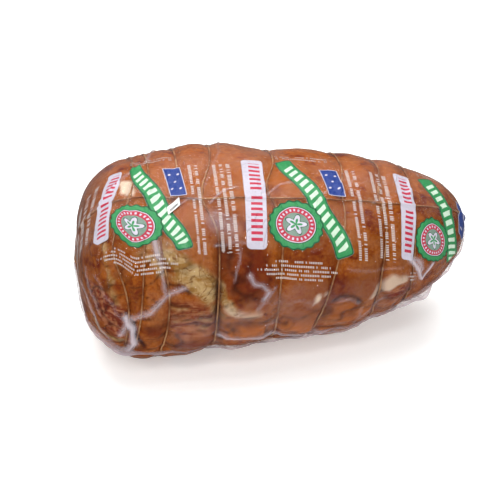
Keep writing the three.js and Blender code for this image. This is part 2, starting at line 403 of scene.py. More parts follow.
class Tissue(Enum):
    """What the skin is made of where a mark lies, or the painted shade of a sunken crease."""

    FAT = "fat"
    LEAN = "lean"
    DARK = "dark"
    AMBER = "amber"
    PALE = "pale"
    GOLD = "gold"


@dataclass(frozen=True)
class Mark:
    """A patch or a run on the skin, with its tissue and how far it stands proud.

    A closed mark fills its outline. An open one is a run with a half width.
    """

    tissue: Tissue
    spots: tuple[Spot, ...]
    height: float = 0.0
    half_width: float = 0.0
    soft: float = 2.5
    rough: float = 1.6
    strength: float = 1.0

    def cover(self, s: Array, v: Array, waver: Array) -> Array:
        """Finds how much of each place the mark covers.

        Args:
            s: millimetres along the ham.
            v: millimetres round the ham.
            waver: what roughens the mark's edge, from -1 to 1 or so.

        Returns:
            A share from 0 to 1 for each place.
        """
        if self.half_width > 0:
            away = run_distance(s, v, self.spots) - self.half_width
        else:
            away = patch_distance(s, v, self.spots)
        return smooth(0.5 - (away + waver * self.rough) / (2 * self.soft))


# The dark marks sink into the skin, and their dark colour is painted shade in those creases.
MARKS = (
    Mark(Tissue.FAT, ((-121, 35), (-113, 36), (-94, 32), (-86, 27), (-78, 24), (-67, 17), (-64, 13),
                      (-68, 3), (-79, 4), (-88, 9), (-96, 14), (-105, 18), (-108, 24), (-114, 30)), 1.6),
    Mark(Tissue.FAT, ((-66, 14), (-61, 3), (-52, -2)), 1.0, 4.0, soft=2.0, rough=2.2),
    Mark(Tissue.PALE, ((-58, 0), (-50, -3), (-40, -5), (-28, -5)), 0.8, 2.6, soft=4.0, strength=0.75),
    Mark(Tissue.FAT, ((-96, 16), (-84, 8), (-72, 2), (-62, -4)), 0.6, 2.6, soft=3.0, rough=3.0,
         strength=0.8),
    Mark(Tissue.PALE, ((-149, 84), (-137, 82), (-138, 70), (-150, 74)), 0.3, soft=1.4),
    Mark(Tissue.FAT, ((-170, 42), (-169, 30), (-166, 16), (-162, 4)), 0.7, 2.2, rough=2.4, strength=0.8),
    Mark(Tissue.FAT, ((-131, 33), (-124, 31), (-117, 22), (-104, 18)), 0.4, 3.0, soft=4.0, rough=3.0,
         strength=0.8),
    Mark(Tissue.FAT, ((-136, 34), (-120, 40), (-108, 38)), 0.5, 4.0, soft=4.0, rough=2.5, strength=0.55),
    Mark(Tissue.FAT, ((-181, -19), (-175, -25), (-161, -24)), 0.8, 3.0),
    Mark(Tissue.PALE, ((82, -10), (90, -2), (106, 1), (122, -2), (124, -6), (108, -7), (94, -9)), 1.0,
         soft=3.0, rough=2.6, strength=0.8),
    Mark(Tissue.DARK, ((95, -8), (97, -8)), -1.0, 1.0, soft=1.4),
    Mark(Tissue.LEAN, ((100, -8), (124, -9), (128, -15), (104, -16)), -0.6, rough=2.0),
    Mark(Tissue.FAT, ((88, 59), (92, 57)), 0.2, 1.8, soft=1.5, strength=0.7),
    Mark(Tissue.FAT, ((100, 54), (104, 53)), 0.2, 1.6, soft=1.5, strength=0.7),
    Mark(Tissue.PALE, ((25, -4), (26, 0), (30, 2), (34, 0), (33, -3)), 1.0, soft=2.0, rough=1.4),
    Mark(Tissue.PALE, ((38, 0), (42, 0)), 0.6, 1.6, soft=1.8, strength=0.8),
    Mark(Tissue.DARK, ((34, -3), (37, -4)), -1.6, 1.2, soft=1.6),
    Mark(Tissue.DARK, ((46, -5), (56, -2), (66, -4), (74, -10)), -2.4, 1.8, soft=2.8),
    Mark(Tissue.LEAN, ((-190, 14), (-179, 14), (-170, 9), (-159, 4), (-156, -3), (-160, -18), (-171, -18),
                       (-177, -12), (-184, -5)), -0.8),
    Mark(Tissue.LEAN, ((-112, 5), (-90, 6), (-70, 0), (-66, -12), (-78, -19), (-108, -17), (-116, -6)), -0.6,
         soft=5.0, strength=0.75),
    Mark(Tissue.DARK, ((-148, -6), (-145, -22)), -2.2, 1.5, soft=2.0),
    Mark(Tissue.DARK, ((-141, -22), (-139, -24)), -1.6, 1.8, soft=2.0),
    Mark(Tissue.DARK, ((-114, 15), (-107, 14), (-98, 13), (-90, 8)), -2.4, 0.8, soft=1.8),
    Mark(Tissue.DARK, ((-39, 3), (-31, 3)), -1.8, 0.8, soft=2.0),
    Mark(Tissue.DARK, ((-66, 14), (-67, 2), (-66, -10), (-64, -24)), -2.6, 1.6, soft=3.5),
    Mark(Tissue.DARK, ((-60, 36), (-52, 30), (-55, 22), (-47, 15), (-50, 9)), -1.6, 2.0, soft=4.0, rough=3.0,
         strength=0.75),
    Mark(Tissue.DARK, ((-38, 33), (-32, 26), (-36, 20), (-42, 14)), -1.2, 1.4, soft=3.5, rough=3.0,
         strength=0.6),
    Mark(Tissue.DARK, ((-20, 26), (-14, 20), (-16, 13)), -1.0, 1.0, soft=3.0, rough=2.0, strength=0.4),
    Mark(Tissue.DARK, ((-182, 2), (-176, -4), (-170, -12)), -1.4, 1.0, rough=2.0, strength=0.7),
    Mark(Tissue.DARK, ((-70, -13), (-62, -12), (-56, -9)), -1.4, 0.9, soft=2.0, strength=0.8),
    Mark(Tissue.DARK, ((-62, -9), (-40, -9), (-22, -11), (-8, -8)), -2.0, 1.2, soft=3.0, strength=0.8),
    Mark(Tissue.DARK, ((-3, -10), (10, -12), (24, -13), (40, -17)), -1.8, 1.0, soft=3.0, strength=0.8),
    Mark(Tissue.AMBER, ((-63, 38), (-40, 37), (-18, 30), (-10, 12), (-20, -1), (-46, 2), (-62, 8)), -0.6,
         soft=8.0, rough=4.0, strength=0.9),
    Mark(Tissue.AMBER, ((-64, 66), (-52, 64), (-44, 50), (-52, 40), (-66, 44)), soft=8.0, rough=4.0,
         strength=0.6),
    Mark(Tissue.AMBER, ((2, 14), (96, 8), (104, -6), (40, -16), (0, -14)), soft=10.0, rough=4.0,
         strength=0.4),
    Mark(Tissue.AMBER, ((10, 40), (44, 44), (56, 22), (30, 12), (8, 20)), soft=12.0, rough=5.0,
         strength=0.5),
    Mark(Tissue.AMBER, ((-137, -8), (-119, -8), (-118, -15), (-136, -15)), 0.5, soft=5.0),
    Mark(Tissue.AMBER, ((-109, -20), (-73, -20), (-72, -27), (-108, -27)), 0.5, soft=5.0),
    Mark(Tissue.AMBER, ((100, -8), (128, -10), (134, -20), (104, -20)), 0.4, soft=6.0),
    Mark(Tissue.AMBER, ((42, -8), (57, -9), (72, -10), (72, -18), (44, -16)), -1.8, soft=4.0),
    Mark(Tissue.GOLD, ((-60, -11), (-40, -11), (-20, -13), (-22, -21), (-58, -20)), 3.0, soft=4.0),
    Mark(Tissue.GOLD, ((-6, -14), (12, -15), (28, -18), (26, -26), (-4, -24)), 2.4, soft=5.0),
    Mark(Tissue.GOLD, ((46, -8), (60, -6), (70, -10), (64, -16), (46, -17)), 0.4, soft=4.0, strength=0.9),
    Mark(Tissue.FAT, ((-110, 1), (-94, 1), (-78, -3)), 0.3, 0.5, soft=1.6, rough=2.0, strength=0.6),
    Mark(Tissue.FAT, ((-108, -6), (-90, -4), (-72, -7)), 0.3, 0.5, soft=1.6, rough=2.0, strength=0.55),
    Mark(Tissue.FAT, ((-104, -11), (-88, -9), (-70, -12)), 0.3, 0.5, soft=1.6, rough=2.0, strength=0.5),
    Mark(Tissue.DARK, ((-111, 3), (-97, 3), (-84, 0)), -0.6, 0.5, soft=1.2, rough=2.0, strength=0.75),
    Mark(Tissue.DARK, ((-110, -3), (-92, -2), (-74, -5)), -0.7, 0.5, soft=1.3, rough=2.0, strength=0.8),
    Mark(Tissue.DARK, ((-107, -9), (-90, -7), (-71, -10)), -0.6, 0.5, soft=1.2, rough=2.0, strength=0.7),
    Mark(Tissue.DARK, ((-104, -14), (-86, -12), (-69, -15)), -0.7, 0.5, soft=1.3, rough=2.0, strength=0.75),
    Mark(Tissue.DARK, ((-100, 0), (-84, -5), (-68, -3)), -0.4, 0.4, soft=1.0, rough=2.0, strength=0.6),
    Mark(Tissue.DARK, ((66, -20), (72, -14), (80, -11)), -1.6, 1.0, soft=2.4, strength=0.7),
    Mark(Tissue.DARK, ((-10, -13), (-4, -15), (0, -14)), -1.2, 2.6, soft=2.4, rough=3.0, strength=0.8),
    Mark(Tissue.DARK, ((-69, -18), (-60, -15), (-52, -12)), -1.2, 2.0, soft=2.4, rough=3.0, strength=0.8),
    Mark(Tissue.GOLD, ((52, -19), (74, -15), (90, -13), (88, -22), (60, -27)), 1.6, soft=6.0, strength=0.8),
)


# places along the ham in millimetres, and the angles in degrees below which the meat is creased there
CREASED_BELOW = ((-190, -140, -60, 0, 140), (70, 44, 34, 4, -4))


@dataclass
class Skin:
    """The ham's real surface: lumps, tied-in grooves and marks over the plain shape.

    Lengths are in millimetres and angles in degrees. A pair in lumps is a height and the distance
    from lump to lump. The two sets of drawn numbers say how much lumps and creases are drawn out
    along the ham. A band of angles, such as top, is its low limit, the span in which it eases in,
    its high limit and the span in which it eases out.
    """

    form: HamForm
    radius: float = 0.95
    sink: float = 1.0
    bulge: float = 1.9
    bulge_reach: float = 22.0
    lumps: tuple[Spot, ...] = ((1.9, 47.0), (0.8, 21.0), (0.32, 8.0))
    drawn: tuple[float, float, float] = (0.35, 1.0, 1.0)
    less_drawn: tuple[float, float, float] = (0.7, 1.0, 1.0)
    top_ease: float = 0.45
    top: tuple[float, ...] = (25, 25, 150, 30)
    low_front: tuple[float, ...] = (-70, 30, -2, 14)
    groove_waver: float = 0.18
    groove_power: float = 1.35
    low_lumps: float = 1.3
    tip_fade: float = 14.0

    def unrolled(self, front: Array, angle: Array) -> tuple[Array, Array]:
        """Millimetres along and round the ham, on its unrolled skin."""
        return front + self.form.stray(front, angle), unwound(angle) * UNROLL

    def waver(self, place: Array) -> Array:
        """What roughens the marks' edges at each place."""
        return LUMPS.at(place, 9.0) + 0.6 * LUMPS.at(place, 4.0)

    def covers(self, front: Array, angle: Array) -> dict[Tissue, Array]:
        """Finds how much of each tissue lies at each place.

        Args:
            front: the places' row positions in millimetres.
            angle: the places' angles in degrees.

        Returns:
            A share from 0 to 1 for each tissue and place.
        """
        s, v = self.unrolled(front, angle)
        waver = self.waver(self.form.point(front, angle))
        shares = {tissue: np.zeros(np.shape(s)) for tissue in Tissue}
        for mark in MARKS:
            cover = mark.cover(s, v, waver) * mark.strength
            shares[mark.tissue] = np.maximum(shares[mark.tissue], cover)
        return shares

    def groove(self, front: Array, angle: Array) -> Array:
        """Finds how deep the loops' twine presses in, which is less over the top.

        Args:
            front: row positions in millimetres.
            angle: angles round the ham in degrees.

        Returns:
            The groove's depth in millimetres at each place.
        """
        deepest = np.zeros(np.broadcast(front, angle).shape)
        eased = 1 - self.top_ease * band(unwound(angle), *self.top)
        for loop in LOOPS:
            away = np.abs(front - loop.front)
            waver = 1 + self.groove_waver * np.sin(np.radians(angle * 3 + loop.front * 5))
            here = loop.depth * eased * waver
            deepest = np.maximum(deepest, here * (1 - smooth(away / loop.width)) ** self.groove_power)
        return deepest

    def creases(self, front: Array, angle: Array) -> Array:
        """Finds how deep the meat is creased; the lower front is creased most.

        Args:
            front: row positions in millimetres.
            angle: angles round the ham in degrees.

        Returns:
            A depth from 0 to 1 for each place.
        """
        place = self.form.point(front, angle)
        level = np.interp(place[..., 0], *CREASED_BELOW)
        zone = 0.12 + 0.88 * smooth((level - unwound(angle)) / 18)
        long = ridge_at(CREASING.at(place * self.drawn, 13.0), 0.06)
        fine = ridge_at(LUMPS.at(place * self.less_drawn, 7.5), 0.08)
        return zone * np.maximum(long, 0.55 * fine)

    def height(self, front: Array, angle: Array) -> Array:
        """Finds how far the skin stands off the plain shape.

        Args:
            front: row positions in millimetres.
            angle: angles round the ham in degrees.

        Returns:
            Millimetres outward at each place.
        """
        s, v = self.unrolled(front, angle)
        place = self.form.point(front, angle)
        nearest = np.min([np.abs(front - loop.front) for loop in LOOPS], axis=0)
        rise = self.bulge * (1 - ridge_at(nearest, self.bulge_reach))
        lumps = sum(tall * LUMPS.at(place, size) for tall, size in self.lumps)
        total = rise - self.sink + lumps - self.groove(front, angle)
        waver = self.waver(place)
        fat = np.zeros(np.shape(s))
        for mark in MARKS:
            cover = mark.cover(s, v, waver)
            total = total + mark.height * cover
            if mark.tissue is Tissue.FAT:
                fat = np.maximum(fat, cover)
        low_front = band(unwound(angle), *self.low_front)
        total = total + low_front * self.low_lumps * CREASING.at(place * self.drawn, 7.0)
        lumpy = 0.9 * np.abs(CREASING.at(place, 6.5)) - 0.5 * ridge_at(CREASING.at(place, 9.0), 0.08)
        total = total + fat * lumpy - self.creases(front, angle)
        return total * smooth((self.form.length / 2 - np.abs(front)) / self.tip_fade)

    def twine_lift(self, loop: Loop, angle: Array) -> Array:
        """Height of a loop's centre line over the plain shape."""
        beside = [np.full_like(angle, loop.front + off) for off in (-0.6, 0, 0.6)]
        return np.max([self.height(front, angle) for front in beside], axis=0) + self.radius + 0.1


# ---------------------------------------------------------------- meshes

def smoothed_ring(values: Array, steps: int) -> Array:
    """Averages a closed run of values with its neighbours.

    Args:
        values: the run, whose last value is beside its first.
        steps: how many times it is averaged.

    Returns:
        The smoothed run.
    """
    for _ in range(steps):
        values = (np.roll(values, 1) + 2 * values + np.roll(values, -1)) / 4
    return values


def mesh_object(
    name: str,
    points: Array,
    faces: Sequence[Sequence[int]],
    flat: Union[Array, None] = None,
    shares: Union[dict[str, Array], None] = None,
) -> bpy.types.Object:
    """Makes a smooth mesh object from points in millimetres.

    Args:
        name: the object's name.
        points: the vertices in millimetres, in the shared frame.
        faces: the vertex numbers of each face.
        flat: unrolled coordinates in millimetres of each vertex, for a printed surface.
        shares: a value for each vertex under each name, for the finish to read.

    Returns:
        The new object.
    """
    mesh = bpy.data.meshes.new(name)
    mesh.from_pydata((np.asarray(points) * MILLIMETRE).tolist(), [], [list(map(int, f)) for f in faces])
    mesh.polygons.foreach_set("use_smooth", [True] * len(mesh.polygons))
    if flat is not None:
        corners = np.zeros(len(mesh.loops), int)
        mesh.loops.foreach_get("vertex_index", corners)
        layer = mesh.uv_layers.new(name=FLAT_LAYER)
        layer.data.foreach_set("uv", np.asarray(flat)[corners].astype(np.float32).ravel())
    for key, values in (shares or {}).items():
        attribute = mesh.attributes.new(key, "FLOAT", "POINT")
        attribute.data.foreach_set("value", np.asarray(values, np.float32).ravel())
    mesh.update()
    item = bpy.data.objects.new(name, mesh)
    bpy.context.scene.collection.objects.link(item)
    return item


def grid_faces(rows: int, columns: int, closed: bool, ring: bool = False) -> list[tuple[int, ...]]:
    """Lists a grid's faces, facing outward where rows run along x and columns turn upward.

    Args:
        rows: how many rows of vertices.
        columns: how many vertices in a row.
        closed: whether each row's last vertex joins its first.
        ring: whether the last row joins the first.

    Returns:
        The faces' vertex numbers.
    """
    faces = []
    for r in range(rows if ring else rows - 1):
        a, b = r * columns, (r + 1) % rows * columns
        for c in range(columns if closed else columns - 1):
            d = (c + 1) % columns
            faces.append((a + c, b + c, b + d, a + d))
    return faces


def tipped_faces(rows: int, columns: int, closed: bool) -> list[tuple[int, ...]]:
    """Lists a grid's faces and those that join it to the two tips, whose vertices follow the grid's.

    Args:
        rows: how many rows of vertices.
        columns: how many vertices in a row.
        closed: whether each row's last vertex joins its first.

    Returns:
        The faces' vertex numbers.
    """
    faces = grid_faces(rows, columns, closed)
    blunt, shank, last = rows * columns, rows * columns + 1, (rows - 1) * columns
    for c in range(columns if closed else columns - 1):
        d = (c + 1) % columns
        faces.append((blunt, c, d))
        faces.append((shank, last + d, last + c))
    return faces


def place_piece(item: bpy.types.Object, nodes: Sequence[str], finish: bpy.types.Material) -> None:
    """Rides a piece on the ham's body, in place of its CAD nodes.

    Args:
        item: the piece.
        nodes: the CAD nodes that it stands in for.
        finish: its material.
    """
    item.data.materials.append(finish)
    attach(item, "root")
    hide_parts(*nodes)
    LOG.info("%s: %d faces for %s", item.name, len(item.data.polygons), ", ".join(nodes))


# ---------------------------------------------------------------- shader writing

Plug = Union["Value", float, Sequence[float]]


class Value:
    """A shader socket that adds Math nodes as it is used in sums."""

    def __init__(self, shader: "Shader", socket: bpy.types.NodeSocket) -> None:
        """Wraps a socket of a shader."""
        self.shader = shader
        self.socket = socket

    def __add__(self, other: Plug) -> "Value":
        """Adds."""
        return self.shader.math("ADD", self, other)

    def __sub__(self, other: Plug) -> "Value":
        """Takes away."""
        return self.shader.math("SUBTRACT", self, other)

    def __rsub__(self, other: Plug) -> "Value":
        """Takes this away from a number."""
        return self.shader.math("SUBTRACT", other, self)

    def __mul__(self, other: Plug) -> "Value":
        """Multiplies."""
        return self.shader.math("MULTIPLY", self, other)

    def __truediv__(self, other: Plug) -> "Value":
        """Divides."""
        return self.shader.math("DIVIDE", self, other)

    def __lt__(self, other: Plug) -> "Value":
        """1 where this is less."""
        return self.shader.math("LESS_THAN", self, other)

    def __gt__(self, other: Plug) -> "Value":
        """1 where this is more."""
        return self.shader.math("GREATER_THAN", self, other)

    def __abs__(self) -> "Value":
        """Drops the sign."""
        return self.shader.math("ABSOLUTE", self)

    __radd__ = __add__
    __rmul__ = __mul__


class Shader:
    """Writes one material's or world's nodes."""

    def __init__(self, tree: bpy.types.NodeTree) -> None:
        """Starts with an empty tree."""
        self.tree = tree
        tree.nodes.clear()

    @classmethod
    def material(cls, name: str) -> tuple[bpy.types.Material, "Shader"]:
        """Makes a new material.

        Args:
            name: the material's name.

        Returns:
            The material and the writer of its nodes.
        """
        made = bpy.data.materials.new(name)
        made.use_nodes = True
        return made, cls(made.node_tree)

    def add(self, kind: str, settings: Union[dict, None] = None, plugs: Union[dict, None] = None,
            out: Union[int, str] = 0) -> Value:
        """Adds any node.

        Args:
            kind: the node's type without the words ShaderNode.
            settings: the node's own settings, which are set first.
            plugs: the value or link of each socket, by its name or number.
            out: the name or number of the wanted output.

        Returns:
            The output, wrapped.
        """
        node = self.tree.nodes.new("ShaderNode" + kind)
        for key, value in (settings or {}).items():
            if key == "stops":
                self.set_stops(node.color_ramp, value)
            else:
                setattr(node, key, value)
        for key, value in (plugs or {}).items():
            if isinstance(value, Value):
                self.tree.links.new(value.socket, node.inputs[key])
            else:
                socket = node.inputs[key]
                plain = (*value, 1.0) if socket.type == "RGBA" and len(value) == 3 else value
                socket.default_value = plain
        return Value(self, node.outputs[out]) if len(node.outputs) else Value(self, node.inputs[0])

    @staticmethod
    def set_stops(ramp: bpy.types.ColorRamp, stops: Sequence[tuple[float, Colour]]) -> None:
        """Gives a ramp its stops.

        Args:
            ramp: the ramp.
            stops: the place and colour of each stop.
        """
        while len(ramp.elements) < len(stops):
            ramp.elements.new(1.0)
        for element, (place, colour) in zip(ramp.elements, stops):
            element.position = place
            element.color = (*colour, 1.0)

    def math(self, operation: str, *values: Plug) -> Value:
        """Adds a Math node."""
        return self.add("Math", {"operation": operation}, dict(enumerate(values)))

    def vector(self, operation: str, *values: Plug) -> Value:
        """Adds a Vector Math node."""
        return self.add("VectorMath", {"operation": operation}, dict(enumerate(values)))

    def mix(self, share: Plug, low: Plug, high: Plug) -> Value:
        """Mixes two colours."""
        settings = {"data_type": "RGBA", "clamp_factor": True}
        return self.add("Mix", settings, {0: share, 6: low, 7: high}, 2)

    def step(self, value: Plug, low: float, high: float, start: float = 0.0, end: float = 1.0) -> Value:
        """Eases from one value to another as the given one goes from low to high."""
        plugs = {0: value, 1: low, 2: high, 3: start, 4: end}
        return self.add("MapRange", {"interpolation_type": "SMOOTHSTEP"}, plugs)

    def share(self, name: str) -> Value:
        """Reads a value that the mesh carries."""
        return self.add("Attribute", {"attribute_name": name}, out="Fac")

    def noise(self, place: Value, size: float, detail: float = 3.0, roughness: float = 0.55,
              stretch: Sequence[float] = (1, 1, 1), warp: float = 0.0) -> Value:
        """Adds noise.

        Args:
            place: the place in millimetres.
            size: the size of its lumps in millimetres.
            detail: how many finer layers it has.
            roughness: how strong the finer layers are.
            stretch: how fast it changes along each axis.
            warp: how much it is swirled.

        Returns:
            A value from 0 to 1.
        """
        scaled = self.vector("MULTIPLY", place, tuple(s / size for s in stretch))
        plugs = {"Vector": scaled, "Scale": 1.0, "Detail": detail, "Roughness": roughness,
                 "Distortion": warp}
        return self.add("TexNoise", {}, plugs)

    def object_place(self) -> Value:
        """The place on the object in millimetres."""
        plain = self.add("TexCoord", out="Object")
        return self.vector("MULTIPLY", plain, (1000.0, 1000.0, 1000.0))

    def flat_place(self) -> Value:
        """The place on the unrolled surface in millimetres."""
        return self.add("UVMap", {"uv_map": FLAT_LAYER})

    def split(self, place: Value) -> tuple[Value, Value]:
        """Takes the first two numbers of a place apart."""
        first = self.add("SeparateXYZ", {}, {0: place})
        return first, Value(self, first.socket.node.outputs[1])

    def bump(self, height: Value, distance: float, strength: float = 1.0) -> Value:
        """Adds a bump of a height in millimetres."""
        plugs = {"Height": height, "Distance": distance * MILLIMETRE, "Strength": strength}
        return self.add("Bump", {}, plugs)

    def finish(self, surface: Value, kind: str = "OutputMaterial") -> None:
        """Joins the surface to the output."""
        self.add(kind, {}, {"Surface": surface})


# ---------------------------------------------------------------- finishes

@dataclass(frozen=True)
class RindFinish:
    """Smoked rind, amber and mottled, with fat and lean meat where the marks say and painted shade in
    grooves and creases.
    """

    gold: Colour = srgb(176, 96, 22)
    tan: Colour = srgb(182, 112, 58)
    amber: Colour = srgb(122, 42, 6)
    # colour of the painted shade in grooves, creases and the sunken dark marks
    dark: Colour = srgb(50, 14, 4)
    fat: Colour = srgb(206, 176, 126)
    fat_low: Colour = srgb(168, 124, 64)
    pale: Colour = srgb(232, 212, 190)
    lean: Colour = srgb(130, 44, 14)
    lean_fibre: Colour = srgb(186, 118, 78)
    smoke: Colour = srgb(98, 32, 6)
    bronze: Colour = srgb(170, 88, 28)
    honey: Colour = srgb(188, 104, 22)
    crack: Colour = srgb(126, 64, 18)

    def make(self) -> bpy.types.Material:
        """Writes the material.

        Returns:
            The new material.
        """
        made, sh = Shader.material("smoked_rind")
        place = sh.object_place()
        broad = sh.noise(place, 60.0, 3.0, 0.55, warp=0.6)
        blotch = sh.noise(place, 19.0, 4.0, 0.6, warp=0.8)
        fine = sh.noise(place, 3.2, 3.0, 0.6)
        small = sh.noise(place, 8.0, 3.0, 0.6, warp=1.0)
        tone = broad * 0.4 + blotch * 0.4 + small * 0.2
        ramp = sh.add("ValToRGB", {"stops": (
            (0.31, self.smoke), (0.39, self.amber), (0.47, self.gold), (0.55, self.tan),
            (0.66, self.bronze))}, {0: tone})
        shade = sh.step(fine, 0.35, 0.7, 0.0, 0.4)
        skin = sh.mix(shade, ramp, self.amber)
        skin = sh.mix(sh.share("amber") * 0.8, skin, self.amber)
        skin = sh.mix(sh.share("gold") * 0.85, skin, self.honey)
        fibre = sh.noise(place, 5.0, 4.0, 0.65, (0.14, 1.0, 1.0), 0.6)
        meat = sh.mix(sh.step(fibre, 0.42, 0.6), self.lean, self.lean_fibre)
        skin = sh.mix(sh.share("lean"), skin, meat)
        lump = sh.noise(place, 11.0, 4.0, 0.6, (0.7, 1.0, 1.0), 1.2)
        fat = sh.mix(sh.step(lump, 0.38, 0.6), self.fat_low, self.fat)
        skin = sh.mix(sh.share("fat"), skin, fat)
        skin = sh.mix(sh.share("pale"), skin, self.pale)
        crack = sh.noise(place, 15.0, 2.0, 0.5, warp=1.0)
        cracked = sh.step(abs(crack - 0.5), 0.0, 0.025, 1.0, 0.0)
        skin = sh.mix(cracked * sh.share("fat") * 0.8, skin, self.crack)
        # Painted shade: the rind turns amber and, deepest in, near black in the twine's grooves, and darkens
        # in the meat's creases.
        groove = sh.share("groove")
        skin = sh.mix(groove * 0.42, skin, self.amber)
        skin = sh.mix(sh.math("POWER", groove, 4.0) * 0.4, skin, self.dark)
        skin = sh.mix(sh.share("crease") * 0.62, skin, self.dark)
        # painted shade in the sunken dark marks
        skin = sh.mix(sh.share("dark") * 0.85, skin, self.dark)
        pore = sh.noise(place, 1.3, 2.0, 0.6)
        bumps = sh.bump(lump * 0.6 + fibre * sh.share("lean") * 0.8 + pore * 0.25, 0.9, 0.8)
        surface = sh.add("BsdfPrincipled", {}, {
            "Base Color": skin, "Roughness": sh.step(fine, 0.3, 0.7, 0.4, 0.55), "Normal": bumps,
            "Specular IOR Level": 0.14,
        })
        sh.finish(surface)
        return made


@dataclass(frozen=True)
class TwineFinish:
    """Smoke-stained cotton twine."""

    light: Colour = srgb(200, 150, 102)
    stained: Colour = srgb(142, 84, 44)

    def make(self) -> bpy.types.Material:
        """Writes the material.

        Returns:
            The new material.
        """
        made, sh = Shader.material("stained_twine")
        place = sh.object_place()
        stain = sh.noise(place, 14.0, 3.0)
        fibre = sh.noise(place, 0.5, 2.0, 0.7)
        colour = sh.mix(sh.step(stain, 0.35, 0.65), self.stained, self.light)
        colour = sh.mix(sh.step(fibre, 0.4, 0.75, 0.0, 0.5), colour, self.stained)
        surface = sh.add("BsdfPrincipled", {}, {
            "Base Color": colour, "Roughness": 0.8, "Normal": sh.bump(fibre, 0.25, 0.7)})
        sh.finish(surface)
        return made


class Ink:
    """What is printed so far: its colour and how much it covers."""

    def __init__(self, sh: Shader, colour: Colour) -> None:
        """Starts with nothing printed."""
        self.sh, self.colour, self.cover = sh, colour, 0.0

    def lay(self, mask: Value, tint: Colour, opacity: float = 1.0) -> None:
        """Lays a tint over what is printed so far.

        Args:
            mask: 1 where the tint goes.
            tint: its colour.
            opacity: how much it covers.
        """
        self.colour = self.sh.mix(mask, self.colour, tint)
        laid = mask * opacity
        self.cover = laid if isinstance(self.cover, float) else self.sh.math("MAXIMUM", self.cover, laid)


